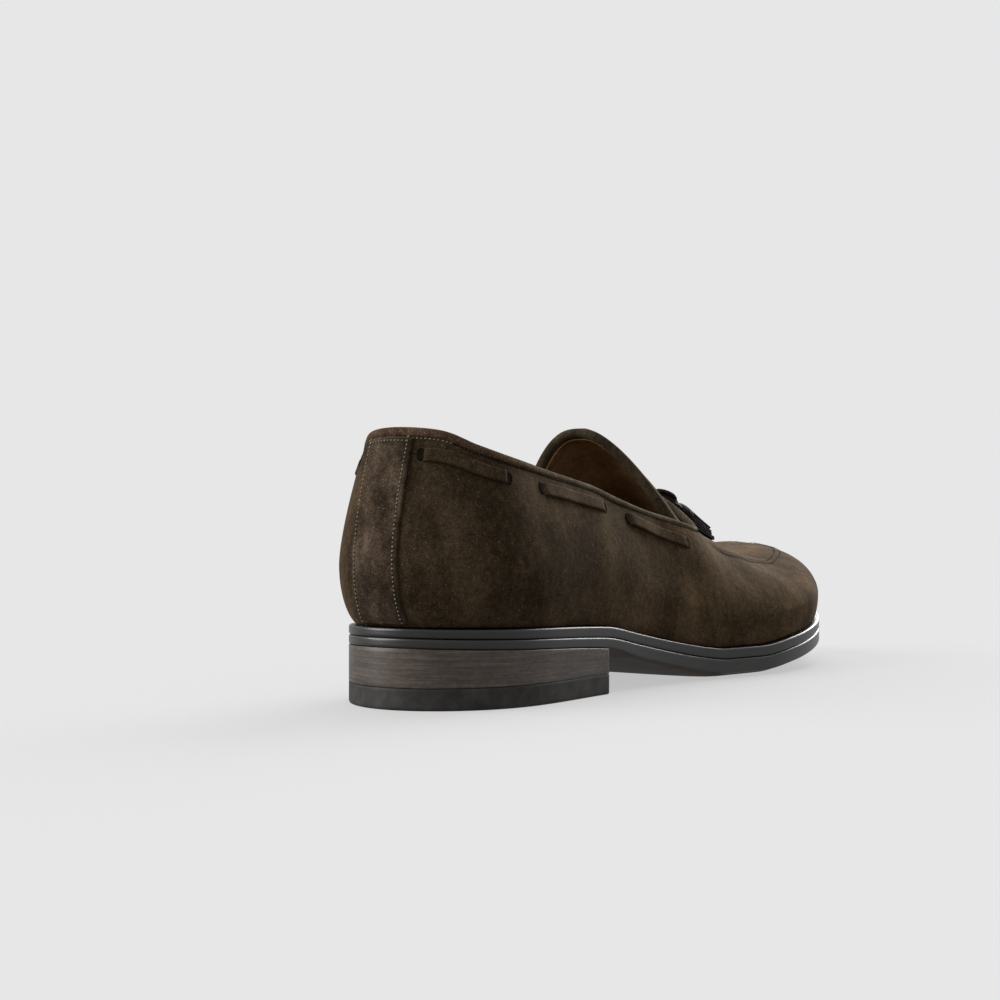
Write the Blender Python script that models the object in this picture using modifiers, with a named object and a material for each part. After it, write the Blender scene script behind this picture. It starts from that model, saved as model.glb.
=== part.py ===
# Tassel loafer, the right shoe of a pair, standing on its sole.
# Metres, +Z up, +Y to the toe, +X to the outer side, origin on the ground under the middle of the heel.

import functools
import math

import bmesh
import bpy
import numpy as np
from mathutils import Vector
from mathutils.bvhtree import BVHTree

MM = 0.001

# Sizes of the last and the sole
LENGTH = 296 * MM
HEEL_WIDTH = 71 * MM
HEEL_ROUND = 45 * MM
WAIST_WIDTH = 65 * MM
BALL_WIDTH = 104 * MM
HEEL_LENGTH = 82 * MM
HEEL_HEIGHT = 20.2 * MM
TOPLIFT = 7.2 * MM
TOPLIFT_CHAMFER = 1.3 * MM
CHAMFER_FALL = 0.7
LIFT_BREAK = 0.2 * MM
BREAST_HOLLOW = 3 * MM
TOE_SPRING = 14.8 * MM
OUTSOLE = 7.5 * MM
MIDSOLE = 4.1 * MM
EDGE_ROUNDING = 1.9 * MM
EDGE_BREAK = 0.5 * MM
INSOLE = 2.5 * MM
INSOLE_CLEARANCE = 1.6 * MM

# Heights of the upper above the top of the sole
COMB_RISE = 88 * MM
THROAT_RISE = 66 * MM
TOE_RISE = 30 * MM
BACK_RISE = 64.6 * MM

# Walls, strips and gaps
UPPER_WALL = 2.0 * MM
FEATHER_INSET = 2.2 * MM
BULGE = 3.3 * MM
WIDEST = 20 * MM
GAP = 0.3 * MM
OVERLAY_GAP = 0.45 * MM
BINDING_GAP = 0.6 * MM
BINDING_WALL = 0.8 * MM
BINDING_LEG = 3.2 * MM
TONGUE_WALL = 2.4 * MM
TONGUE_CLEARANCE = 0.8 * MM
STRIP_WIDTH = 20 * MM
STRIP_WALL = 1.1 * MM
STRIP_SHIFT = 1.5 * MM
STRIP_CLEARANCE = 0.5 * MM
LACE_WIDTH = 4 * MM
LACE_THICK = 1.3 * MM
SEAM_WIDTH = 2.6 * MM
SEAM_HEIGHT = 0.7 * MM
SHOULDER = 0.6
SHOULDER_OUT = 0.8
LACE_SHOULDER = 0.7
TASSEL_LENGTH = 33 * MM
TASSEL_WIDTH = 15 * MM
TASSEL_THICK = 4.6 * MM
KNOT_WIDE = 11 * MM
KNOT_LONG = 9 * MM
KNOT_TALL = 5 * MM

# The outline of the sole, heel to toe: place along the length, outer and inner half as shares of a width
OUTLINE = (
    # name, along, outer, inner, share of
    ("seat", 0.152, 0.500, 0.500, HEEL_WIDTH),
    ("heel side", 0.216, 0.500, 0.487, HEEL_WIDTH),
    ("breast", 0.277, 0.496, 0.454, HEEL_WIDTH),
    ("waist", 0.372, 0.550, 0.450, WAIST_WIDTH),
    ("waist front", 0.470, 0.604, 0.499, WAIST_WIDTH),
    ("outer joint", 0.568, 0.437, 0.399, BALL_WIDTH),
    ("joints", 0.635, 0.477, 0.471, BALL_WIDTH),
    ("ball", 0.689, 0.488, 0.503, BALL_WIDTH),
    ("inner joint", 0.743, 0.474, 0.512, BALL_WIDTH),
    ("vamp", 0.797, 0.430, 0.493, BALL_WIDTH),
    ("little toe", 0.845, 0.364, 0.456, BALL_WIDTH),
    ("toe box", 0.885, 0.294, 0.420, BALL_WIDTH),
    ("toes", 0.926, 0.208, 0.376, BALL_WIDTH),
    ("toe cap", 0.959, 0.122, 0.326, BALL_WIDTH),
    ("toe round", 0.985, 0.026, 0.262, BALL_WIDTH),
)
TOE_ACROSS = -0.115

# The underside's inner rings: how far each is drawn in to the middle line, and its share of the rounding
UNDERSIDE_RINGS = ((0.80, 0.0), (0.93, 0.35))
END_PULL = 0.2

# The sole's side view: the underside as shares of the heel height and the toe spring, the layers of their sizes
SOLE = (
    # along, heel, spring, midsole, outsole, rounding
    (0.000, 1.000, 0.000, 0.78, 0.43, 0.0),
    (0.277, 0.802, 0.000, 0.93, 0.51, 0.1),
    (0.355, 0.515, 0.000, 0.95, 0.76, 0.4),
    (0.429, 0.272, 0.000, 0.97, 0.86, 0.7),
    (0.500, 0.065, 0.000, 0.99, 0.96, 0.9),
    (0.534, 0.000, 0.000, 1.00, 1.00, 1.0),
    (0.601, 0.000, 0.000, 1.00, 1.00, 1.0),
    (0.676, 0.000, 0.162, 1.02, 1.00, 1.0),
    (0.750, 0.000, 0.365, 1.02, 1.00, 1.0),
    (0.828, 0.000, 0.574, 1.02, 0.97, 1.0),
    (0.895, 0.000, 0.743, 1.02, 0.94, 1.0),
    (1.000, 0.000, 1.000, 1.00, 0.87, 1.0),
)

# Sections of the last: crown place and height, how far the wall stands out, and how full each side is
SECTIONS = (
    # along, crown along, across, rise, rise of, widest, outer bulge, across, rise, inner bulge, across, rise
    (0.000, 0.145, 0.000, 1.420, COMB_RISE, 1.00, 1.00, 1.20, 1.55, 1.00, 1.20, 1.55),
    (0.068, 0.152, 0.000, 1.220, COMB_RISE, 1.00, 0.95, 1.20, 1.55, 0.95, 1.20, 1.55),
    (0.152, 0.169, -0.005, 1.035, COMB_RISE, 0.95, 0.55, 1.18, 1.55, 0.60, 1.20, 1.55),
    (0.216, 0.223, -0.015, 1.020, COMB_RISE, 0.90, 0.30, 1.15, 1.55, 0.50, 1.30, 1.60),
    (0.338, 0.338, -0.030, 0.965, COMB_RISE, 0.85, 0.10, 1.25, 1.52, 0.75, 2.00, 1.80),
    (0.439, 0.439, -0.055, 0.945, COMB_RISE, 0.75, 0.00, 1.62, 1.26, 0.75, 2.90, 1.95),
    (0.463, 0.463, -0.058, 0.930, COMB_RISE, 0.72, 0.00, 1.75, 1.32, 0.60, 2.90, 1.95),
    (0.500, 0.500, -0.058, 0.875, COMB_RISE, 0.70, 0.00, 1.75, 1.40, 0.40, 2.75, 1.90),
    (0.534, 0.534, -0.060, 1.060, THROAT_RISE, 0.65, 0.00, 1.66, 1.38, 0.20, 2.50, 1.80),
    (0.557, 0.557, -0.060, 0.975, THROAT_RISE, 0.60, 0.00, 1.60, 1.32, 0.10, 2.30, 1.70),
    (0.601, 0.601, -0.062, 0.833, THROAT_RISE, 0.57, 0.00, 1.60, 1.22, 0.00, 2.10, 1.60),
    (0.642, 0.642, -0.066, 0.710, THROAT_RISE, 0.55, 0.00, 1.62, 1.28, 0.00, 2.00, 1.60),
    (0.699, 0.699, -0.074, 0.572, THROAT_RISE, 0.52, 0.00, 1.75, 1.50, 0.00, 2.00, 1.70),
    (0.760, 0.760, -0.082, 1.085, TOE_RISE, 0.50, -0.05, 2.05, 1.82, -0.05, 2.05, 1.82),
    (0.828, 0.816, -0.094, 1.035, TOE_RISE, 0.45, -0.12, 2.30, 1.92, -0.12, 2.30, 1.92),
    (0.885, 0.850, -0.100, 1.015, TOE_RISE, 0.40, -0.20, 2.35, 1.85, -0.20, 2.35, 1.85),
    (0.946, 0.872, -0.104, 1.000, TOE_RISE, 0.34, -0.36, 2.30, 1.62, -0.36, 2.30, 1.62),
    (0.980, 0.882, -0.106, 0.985, TOE_RISE, 0.30, -0.52, 2.10, 1.35, -0.52, 2.10, 1.35),
    (1.000, 0.886, -0.107, 0.980, TOE_RISE, 0.28, -0.55, 2.10, 1.30, -0.55, 2.10, 1.30),
)
# How far from the crown, as a share of the section, its top stays softly rounded
CROWN_SOFTNESS = 0.12

# The topline: height above the top of the sole as a share of the back's height
TOPLINE = (
    # along, outer, inner
    (0.000, 1.000, 1.000),
    (0.017, 0.985, 0.985),
    (0.051, 0.935, 0.940),
    (0.095, 0.900, 0.910),
    (0.152, 0.868, 0.885),
    (0.203, 0.828, 0.850),
    (0.338, 0.755, 0.785),
    (0.439, 0.735, 0.765),
    (0.534, 0.705, 0.730),
)
CORNER = 0.534
THROAT_CENTRE = 0.562

# The back strip: narrowest part, widening of its ends, where its foot starts up the wall
STRIP_NARROW = 0.84
STRIP_NARROWEST = 0.55
STRIP_FOOT = 0.05

# The tongue on the last's own sections: places along the length, how far down it reaches, its rim's curve
TONGUE_TOP = 0.453
TONGUE_SIDES = {"outer": 0.510, "inner": 0.440}
TONGUE_FRONT = 0.640
TONGUE_LOW = 0.50
TONGUE_ROUNDING = 1.6
TONGUE_FLARE = {"outer": 1.4 * MM, "inner": 2.4 * MM}

# Where the lace lies on each side: start and end along the length, and how far under the topline
LACE_BARS = (
    # start, end, drop at start, drop at end
    (0.008, 0.088, 8.2 * MM, 7.9 * MM),
    (0.155, 0.300, 8.0 * MM, 6.4 * MM),
    (0.356, 0.486, 6.0 * MM, 8.4 * MM),
)

# The raised seam of the apron, as places along the length and shares of the ball width from the crown
APRON = (
    # along, outer, inner
    (0.580, 0.335, 0.315),
    (0.640, 0.345, 0.330),
    (0.700, 0.350, 0.340),
    (0.760, 0.345, 0.335),
    (0.815, 0.310, 0.305),
    (0.860, 0.250, 0.245),
    (0.893, 0.165, 0.160),
    (0.910, 0.070, 0.070),
)
APRON_FRONT = 0.914

# Where the front lace, the knot and the tassels lie: shares of the length, and of the ball width from the ridge
LACE_FRONT_ALONG = 0.568
LACE_FRONT_OUTER = 0.290
LACE_FRONT_INNER = -0.275
KNOT_ALONG = 0.600
KNOT_ACROSS = 0.040
TASSEL_START_ALONG = 0.020
TASSEL_START_ACROSS = 0.050
TASSEL_TIPS = {"outer": (0.692, 0.135), "inner": (0.691, -0.190)}
TASSEL_STRIPS = 11
TASSEL_RAGGED = 0.05
TASSEL = (
    # share of the way, half width, half thickness, depth of the grooves between strips
    (0.00, 0.20, 0.42, 0.00),
    (0.05, 0.29, 0.62, 0.00),
    (0.22, 0.30, 0.66, 0.00),
    (0.25, 0.24, 0.52, 0.00),
    (0.30, 0.30, 0.62, 0.10),
    (0.60, 0.42, 0.54, 0.20),
    (1.00, 0.50, 0.42, 0.26),
)

# Mesh density: stations round half of the outline up to each named place, and rows up the wall
STATIONS = ((0.277, 14), (CORNER, 10), (0.601, 4), (1.0, 16))
STATIONS_PAST_THROAT = 3
WALL_ROWS = 11
WALL_LEAN = 1.2
V_WIDEST = 0.22
TUCK = math.radians(70)


@functools.lru_cache(maxsize=None)
def table_value(table, column, at):
    """Smooth value of a table's column, monotone between its rows."""
    xs = np.array([row[0] for row in table])
    ys = np.array([row[column] for row in table])
    return monotone(xs, ys, at)


def monotone(xs, ys, at):
    """Cubic through the points that never overshoots them."""
    steps = np.diff(xs)
    slopes = np.diff(ys) / steps
    tangents = np.zeros(len(xs))
    tangents[0] = slopes[0]
    tangents[-1] = slopes[-1]
    for i in range(1, len(xs) - 1):
        if slopes[i - 1] * slopes[i] > 0:
            tangents[i] = 2 * slopes[i - 1] * slopes[i] / (slopes[i - 1] + slopes[i])
    at = min(max(at, xs[0]), xs[-1])
    i = min(int(np.searchsorted(xs, at, side="right")) - 1, len(xs) - 2)
    t = (at - xs[i]) / steps[i]
    blend = (2 * t**3 - 3 * t**2 + 1, t**3 - 2 * t**2 + t, -2 * t**3 + 3 * t**2, t**3 - t**2)
    ends = (ys[i], tangents[i] * steps[i], ys[i + 1], tangents[i + 1] * steps[i])
    return float(sum(b * e for b, e in zip(blend, ends)))


def closed_spline(points, count):
    """Smooth closed curve through the points, with count points from each to the next."""
    points = np.array(points)
    total = len(points)
    chords = np.linalg.norm(np.roll(points, -1, axis=0) - points, axis=1)
    matrix = np.zeros((total, total))
    right = np.zeros((total, 2))
    for i in range(total):
        before, after = chords[i - 1], chords[i]
        matrix[i, i - 1] = after
        matrix[i, i] = 2 * (before + after)
        matrix[i, (i + 1) % total] = before
        step_in = (points[i] - points[i - 1]) / before
        step_out = (points[(i + 1) % total] - points[i]) / after
        right[i] = 3 * (after * step_in + before * step_out)
    tangents = np.linalg.solve(matrix, right)
    curve = []
    for i in range(total):
        j = (i + 1) % total
        for t in np.arange(count) / count:
            start = (2 * t**3 - 3 * t**2 + 1) * points[i] + (t**3 - 2 * t**2 + t) * chords[i] * tangents[i]
            end = (3 * t**2 - 2 * t**3) * points[j] + (t**3 - t**2) * chords[i] * tangents[j]
            curve.append(start + end)
    return np.array(curve)


def half_outlines():
    """Both halves of the sole's outline from heel to toe: share of the way, place and outward normal."""
    heel_angles = [math.radians(angle) for angle in (22, 44, 66)]
    heel = [(HEEL_WIDTH / 2 * math.sin(a), HEEL_ROUND * (1 - math.cos(a))) for a in heel_angles]
    outer = [(row[2] * row[4], row[1] * LENGTH) for row in OUTLINE]
    inner = [(-row[3] * row[4], row[1] * LENGTH) for row in OUTLINE]
    tip = (TOE_ACROSS * BALL_WIDTH, LENGTH)
    points = [(0.0, 0.0)] + heel + outer + [tip] + inner[::-1] + [(-x, y) for x, y in heel[::-1]]
    per_span = 24
    curve = closed_spline(points, per_span)
    split = (1 + len(heel) + len(outer)) * per_span
    halves = {"outer": curve[: split + 1], "inner": np.vstack([curve[split:], curve[:1]])[::-1]}
    found = {}
    for side, line in halves.items():
        way = np.concatenate([[0], np.cumsum(np.linalg.norm(np.diff(line, axis=0), axis=1))])
        along = np.gradient(line, axis=0)
        along[0] = (1, 0) if side == "outer" else (-1, 0)
        along[-1] = (-1, 0) if side == "outer" else (1, 0)
        along /= np.linalg.norm(along, axis=1)[:, None]
        turn = 1 if side == "outer" else -1
        normal = np.stack([along[:, 1] * turn, -along[:, 0] * turn], axis=1)
        found[side] = (way / way[-1], line, normal)
    return found


HALVES = half_outlines()


@functools.lru_cache(maxsize=None)
def edge(side, p):
    """Place on the outline and its outward normal at a share p of the way from heel to toe."""
    way, line, normal = HALVES[side]
    place = np.array([np.interp(p, way, line[:, 0]), np.interp(p, way, line[:, 1])])
    out = np.array([np.interp(p, way, normal[:, 0]), np.interp(p, way, normal[:, 1])])
    return place, out / np.linalg.norm(out)


WAY = np.linspace(0, 1, 401)
WAY_ALONG = np.array([(edge("outer", p)[0][1] + edge("inner", p)[0][1]) / 2 / LENGTH for p in WAY])


def along_of(p):
    return float(np.interp(p, WAY, WAY_ALONG))


def way_of(along):
    return float(np.interp(along, WAY_ALONG, WAY))


def underside(y):
    """Height of the middle of the outsole's underside."""
    along = y / LENGTH
    return table_value(SOLE, 1, along) * HEEL_HEIGHT + table_value(SOLE, 2, along) * TOE_SPRING


def outsole_top(y):
    return underside(y) + table_value(SOLE, 4, y / LENGTH) * OUTSOLE


def sole_top(y):
    return outsole_top(y) + table_value(SOLE, 3, y / LENGTH) * MIDSOLE


@functools.lru_cache(maxsize=None)
def crown(p):
    """Highest line of the last at a station: the ridge of the vamp, or an unseen comb over the collar."""
    along = along_of(p)
    y = table_value(SECTIONS, 1, along) * LENGTH
    x = table_value(SECTIONS, 2, along) * BALL_WIDTH
    rises = tuple((row[0], row[3] * row[4]) for row in SECTIONS)
    return np.array([x, y, sole_top(y) + table_value(rises, 1, along)])


def wall(side, p, v):
    """Outer face of the upper: v is 0 at the feather line and 1 at the crown."""
    along = along_of(p)
    place, out = edge(side, p)
    top = crown(p)
    foot = place - out * FEATHER_INSET
    first = 6 if side == "outer" else 9
    widest = place + out * table_value(SECTIONS, first, along) * BULGE
    low = sole_top(place[1]) + GAP
    lift = table_value(SECTIONS, 5, along) * WIDEST
    if v < V_WIDEST:
        turn = TUCK * (1 - v / V_WIDEST)
        share = (1 - math.cos(turn)) / (1 - math.cos(TUCK))
        x, y = widest + (foot - widest) * share
        return np.array([x, y, low + lift * (1 - math.sin(turn) / math.sin(TUCK))])
    turn = (v - V_WIDEST) / (1 - V_WIDEST) * math.pi / 2
    across_power = table_value(SECTIONS, first + 1, along)
    rise_power = table_value(SECTIONS, first + 2, along)
    inward = max(math.cos(turn), 0.0) ** (2 / across_power)
    full = (1 + CROWN_SOFTNESS**2) ** (across_power / 2) - CROWN_SOFTNESS**across_power
    fallen = ((inward**2 + CROWN_SOFTNESS**2) ** (across_power / 2) - CROWN_SOFTNESS**across_power) / full
    upward = max(1 - fallen, 0.0) ** (1 / rise_power)
    x, y = top[:2] + (widest - top[:2]) * inward
    return np.array([x, y, low + lift + (top[2] - low - lift) * upward])


def wall_normal(side, p, v):
    """Outward normal of the upper, from points close by."""
    small = 0.004
    low_p, high_p = max(p - small, 0.0), min(p + small, 1.0)
    low_v, high_v = max(v - small, 0.0), min(v + small, 1.0)
    if v > 1 - small:
        other = "inner" if side == "outer" else "outer"
        up = wall(other, p, 1 - small) - wall(side, p, low_v)
    else:
        up = wall(side, p, high_v) - wall(side, p, low_v)
    if low_p == 0.0:
        other = "inner" if side == "outer" else "outer"
        forward = wall(side, high_p, v) - wall(other, high_p, v)
    else:
        forward = wall(side, high_p, v) - wall(side, low_p, v)
    normal = np.cross(forward, up) * (1 if side == "outer" else -1)
    return normal / np.linalg.norm(normal)


def skin(side, p, v, out):
    """A point that lies a distance out from the upper's outer face, or in from it if out is negative."""
    return wall(side, p, v) + wall_normal(side, p, v) * out


def v_at_height(side, p, z):
    """Where up the wall a height is reached."""
    low, high = 0.0, 1.0
    for _ in range(30):
        middle = (low + high) / 2
        if wall(side, p, middle)[2] < z:
            low = middle
        else:
            high = middle
    return (low + high) / 2


def topline_height(side, p):
    along = along_of(p)
    y = edge(side, p)[0][1]
    return sole_top(y) + table_value(TOPLINE, 1 if side == "outer" else 2, along) * BACK_RISE


def mouth_point(side, share):
    """Point of the opening's edge as (p, v): share 0 to 1 is the topline, 1 to 2 the throat edge."""
    p_corner = way_of(CORNER)
    if share <= 1:
        p = share * p_corner
        return p, v_at_height(side, p, topline_height(side, p))
    turn = (share - 1) * math.pi / 2
    v_corner = v_at_height(side, p_corner, topline_height(side, p_corner))
    p = p_corner + (way_of(THROAT_CENTRE) - p_corner) * math.sin(turn) ** 0.8
    return p, v_corner + (1 - v_corner) * (1 - math.cos(turn)) ** 0.75


def station_list():
    """Shares of the way round half of the outline, closer where the named places need it."""
    stations = [0.0]
    for end, count in STATIONS:
        start = stations[-1]
        stations += [start + (way_of(end) - start) * (i + 1) / count for i in range(count)]
    stations[-1] = 1.0
    return stations


PLACES = station_list()
CORNER_INDEX = STATIONS[0][1] + STATIONS[1][1]
THROAT_INDEX = CORNER_INDEX + STATIONS[2][1] + STATIONS_PAST_THROAT


def wall_path(side, i):
    """The points (p, v) of one station's line up the wall, from the feather to the mouth or the ridge."""
    foot = PLACES[i]
    if i <= CORNER_INDEX:
        head, v_head = mouth_point(side, foot / way_of(CORNER))
    elif i <= THROAT_INDEX:
        head, v_head = mouth_point(side, 1 + (i - CORNER_INDEX) / (THROAT_INDEX - CORNER_INDEX))
    else:
        share = (i - THROAT_INDEX) / (len(PLACES) - 1 - THROAT_INDEX)
        start = way_of(THROAT_CENTRE)
        head = start + (1 - start) * share
        v_head = 1.0
    path = []
    for j in range(WALL_ROWS + 1):
        share = j / WALL_ROWS
        path.append((foot + (head - foot) * share**WALL_LEAN, v_head * share))
    return path


def new_material(name, colour, roughness):
    """A plain Principled material with a colour as shares of red, green and blue."""
    material = bpy.data.materials.new(name)
    material.use_nodes = True
    shader = material.node_tree.nodes["Principled BSDF"]
    shader.inputs["Base Color"].default_value = (*colour, 1.0)
    shader.inputs["Roughness"].default_value = roughness
    return material


def add_object(name, vertices, faces, material, smooth=True):
    """A mesh object in the shoe's collection, moved so that the origin is under the middle of the heel."""
    mesh = bpy.data.meshes.new(name)
    middle = HEEL_LENGTH / 2
    mesh.from_pydata([(float(x), float(y) - middle, float(z)) for x, y, z in vertices], [], faces)
    mesh.materials.append(material)
    work = bmesh.new()
    work.from_mesh(mesh)
    if all(e.is_manifold for e in work.edges):
        bmesh.ops.recalc_face_normals(work, faces=work.faces)
    work.to_mesh(mesh)
    work.free()
    if smooth:
        mesh.shade_smooth()
        mesh.set_sharp_from_angle(angle=math.radians(40))
    obj = bpy.data.objects.new(name, mesh)
    shoe.objects.link(obj)
    return obj


def ring_solid(name, rings, material):
    """A closed body through closed rings whose points pair up across the shoe, with both ends filled."""
    count = len(rings[0])
    half = count // 2
    faces = []
    for r in range(len(rings) - 1):
        for i in range(count):
            j = (i + 1) % count
            faces.append((r * count + i, r * count + j, (r + 1) * count + j, (r + 1) * count + i))
    for first in (0, (len(rings) - 1) * count):
        for i in range(half):
            a, b = first + i, first + i + 1
            c, d = first + (count - i - 1) % count, first + (count - i) % count
            faces.append(tuple(dict.fromkeys((a, b, c, d))))
    return add_object(name, [point for ring in rings for point in ring], faces, material)


def tube_solid(name, rings, material, closed=False):
    """A closed body through rings of one cross-section each, with its ends filled or joined up."""
    count = len(rings[0])
    faces = []
    last = len(rings) if closed else len(rings) - 1
    for r in range(last):
        n = (r + 1) % len(rings)
        for i in range(count):
            j = (i + 1) % count
            faces.append((r * count + i, r * count + j, n * count + j, n * count + i))
    if not closed:
        faces.append(tuple(range(count)))
        faces.append(tuple(range((len(rings) - 1) * count, len(rings) * count)))
    return add_object(name, [point for ring in rings for point in ring], faces, material)


def sheet_solid(name, near, far, material):
    """A closed body between two grids of the same size."""
    rows, columns = len(near), len(near[0])
    size = rows * columns
    faces = []
    for r in range(rows - 1):
        for c in range(columns - 1):
            a, b = r * columns + c, (r + 1) * columns + c
            faces.append((a, a + 1, b + 1, b))
            faces.append((size + a, size + b, size + b + 1, size + a + 1))
    rim = [(0, c) for c in range(columns)] + [(r, columns - 1) for r in range(1, rows)]
    rim += [(rows - 1, c) for c in range(columns - 2, -1, -1)] + [(r, 0) for r in range(rows - 2, 0, -1)]
    for k, (r, c) in enumerate(rim):
        r2, c2 = rim[(k + 1) % len(rim)]
        a, b = r * columns + c, r2 * columns + c2
        faces.append((a, b, size + b, size + a))
    points = [point for row in near for point in row] + [point for row in far for point in row]
    return add_object(name, points, faces, material)


def ring_round(stations, place):
    """Points round the whole outline: the outer half heel to toe, then the inner half back."""
    ring = [place("outer", p) for p in stations]
    ring += [place("inner", p) for p in stations[-2:0:-1]]
    return ring


def inset_point(side, p, inset, height):
    """A point inside the outline by inset, at the height that a function of its station gives."""
    place, out = edge(side, p)
    return (*(place - out * inset), height(place[1]))


def build_outsole(material):
    def underside_ring(share, rounding):
        def place(side, p):
            place_out, out = edge(side, p)
            y = place_out[1]
            middle = np.array([crown_line_x(y), y])
            if 0 < p < 1:
                spot = middle + (place_out - middle) * share
            else:
                spot = place_out - out * LENGTH * (1 - share) * END_PULL
            lift = table_value(SOLE, 5, y / LENGTH) * EDGE_ROUNDING * rounding
            return (spot[0], spot[1], underside(y) + lift)
        return ring_round(PLACES, place)

    def under_edge(y):
        return underside(y) + table_value(SOLE, 5, y / LENGTH) * EDGE_ROUNDING

    def ring(inset, height):
        return ring_round(PLACES, lambda side, p: inset_point(side, p, inset, height))

    rings = [underside_ring(share, rounding) for share, rounding in UNDERSIDE_RINGS]
    rings += [
        ring(EDGE_BREAK, under_edge),
        ring(0.0, lambda y: under_edge(y) + EDGE_BREAK),
        ring(0.0, lambda y: outsole_top(y) - EDGE_BREAK),
        ring(EDGE_BREAK, outsole_top),
    ]
    return ring_solid("outsole", rings, material)


def crown_line_x(y):
    return table_value(SECTIONS, 2, y / LENGTH) * BALL_WIDTH


def build_midsole(material):
    def low(y):
        return outsole_top(y) + GAP

    rings = [
        ring_round(PLACES, lambda side, p: inset_point(side, p, EDGE_BREAK, low)),
        ring_round(PLACES, lambda side, p: inset_point(side, p, 0.0, lambda y: low(y) + EDGE_BREAK)),
        ring_round(PLACES, lambda side, p: inset_point(side, p, 0.0, lambda y: sole_top(y) - EDGE_BREAK)),
        ring_round(PLACES, lambda side, p: inset_point(side, p, EDGE_BREAK, sole_top)),
    ]
    return ring_solid("midsole", rings, material)


def heel_ring(inset, height):
    """Points round the heel block: the outline as far as the breast, then the hollow breast face."""
    heel_places = [p for p in PLACES if p <= way_of(HEEL_LENGTH / LENGTH) + 1e-6]
    halves = {}
    for side in ("outer", "inner"):
        line = [inset_point(side, p, inset, height) for p in heel_places]
        corner = line[-1]
        for share in (0.75, 0.5, 0.25):
            y = HEEL_LENGTH - BREAST_HOLLOW * (1 - share**2) - inset
            line.append((corner[0] * share, y, height(y)))
        halves[side] = line
    y = HEEL_LENGTH - BREAST_HOLLOW - inset
    return halves["outer"] + [(0.0, y, height(y))] + halves["inner"][:0:-1]


def build_heel(stack_material, toplift_material):
    def chamfer(y):
        return TOPLIFT_CHAMFER * (1 - CHAMFER_FALL * y / HEEL_LENGTH)

    rings = [
        heel_ring(TOPLIFT_CHAMFER * CHAMFER_FALL, lambda y: 0.0),
        heel_ring(0.0, chamfer),
        heel_ring(0.0, lambda y: TOPLIFT - LIFT_BREAK),
        heel_ring(LIFT_BREAK, lambda y: TOPLIFT),
    ]
    ring_solid("toplift", rings, toplift_material)
    rings = [
        heel_ring(LIFT_BREAK, lambda y: TOPLIFT + GAP),
        heel_ring(0.0, lambda y: TOPLIFT + GAP + LIFT_BREAK),
        heel_ring(0.0, lambda y: underside(y) - GAP - LIFT_BREAK),
        heel_ring(LIFT_BREAK, lambda y: underside(y) - GAP),
    ]
    ring_solid("heel_stack", rings, stack_material)


def build_insole(material):
    inset = FEATHER_INSET + UPPER_WALL + INSOLE_CLEARANCE

    def top(y):
        return sole_top(y) + OVERLAY_GAP + INSOLE

    rings = [
        ring_round(PLACES, lambda side, p: inset_point(side, p, inset, lambda y: sole_top(y) + OVERLAY_GAP)),
        ring_round(PLACES, lambda side, p: inset_point(side, p, inset + EDGE_BREAK, top)),
    ]
    return ring_solid("insole", rings, material)


def upper_grid():
    """Points and faces of the upper's outer face as one open surface."""
    points, index = [], {}
    last = len(PLACES) - 1

    def vertex(side, i, j):
        shared = i in (0, last) or (i >= THROAT_INDEX and j == WALL_ROWS)
        key = ("both" if shared else side, i, j)
        if key not in index:
            index[key] = len(points)
            points.append(wall(side, *wall_path(side, i)[j]))
        return index[key]

    faces = []
    for side in ("outer", "inner"):
        for i in range(last):
            for j in range(WALL_ROWS):
                corners = [vertex(side, i, j), vertex(side, i + 1, j)]
                corners += [vertex(side, i + 1, j + 1), vertex(side, i, j + 1)]
                faces.append(tuple(corners if side == "outer" else corners[::-1]))
    return points, faces


def build_upper(material):
    points, faces = upper_grid()
    upper = add_object("upper", points, faces, material)
    thick = upper.modifiers.new("wall", "SOLIDIFY")
    thick.thickness = UPPER_WALL
    thick.offset = -1
    thick.use_even_offset = True
    tree = BVHTree.FromPolygons([Vector(point) for point in points], faces)
    return tree


def surface_at(tree, x, y):
    """Where a plumb line over the vamp meets the upper, and the normal there."""
    hit, normal, _, _ = tree.ray_cast(Vector((x, y, LENGTH)), Vector((0, 0, -1)))
    if normal.z < 0:
        normal = -normal
    return np.array(hit), np.array(normal)


def frames_along(points, normals):
    """Unit vectors along and across a line that lies on a surface, and up from it."""
    frames = []
    for i in range(len(points)):
        along = points[min(i + 1, len(points) - 1)] - points[max(i - 1, 0)]
        along = along / np.linalg.norm(along)
        normal = normals[i] - along * np.dot(normals[i], along)
        normal = normal / np.linalg.norm(normal)
        frames.append((along, np.cross(along, normal), normal))
    return frames


def section_ring(centre, frame, outline):
    """A cross-section of (across, up) pairs set square to a line."""
    _, across, up = frame
    return [centre + across * a + up * b for a, b in outline]


def mouth_frames():
    """Points of the upper's free edge all the way round, and the ways along it, down the wall and out of it."""
    indices = range(THROAT_INDEX + 1)
    route = [("outer", i) for i in indices] + [("inner", i) for i in indices[-2:0:-1]]
    heads = [wall(side, *wall_path(side, i)[-1]) for side, i in route]
    lower = [wall(side, *wall_path(side, i)[-2]) for side, i in route]
    lower[THROAT_INDEX] = wall("outer", *wall_path("outer", THROAT_INDEX + 1)[-1])
    frames = []
    for k in range(len(route)):
        before, after = heads[k - 1], heads[(k + 1) % len(route)]
        along = (after - before) / np.linalg.norm(after - before)
        down = (lower[k] - heads[k]) / np.linalg.norm(lower[k] - heads[k])
        out = np.cross(down, along)
        frames.append((heads[k], along, down, out / np.linalg.norm(out)))
    return frames


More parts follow.
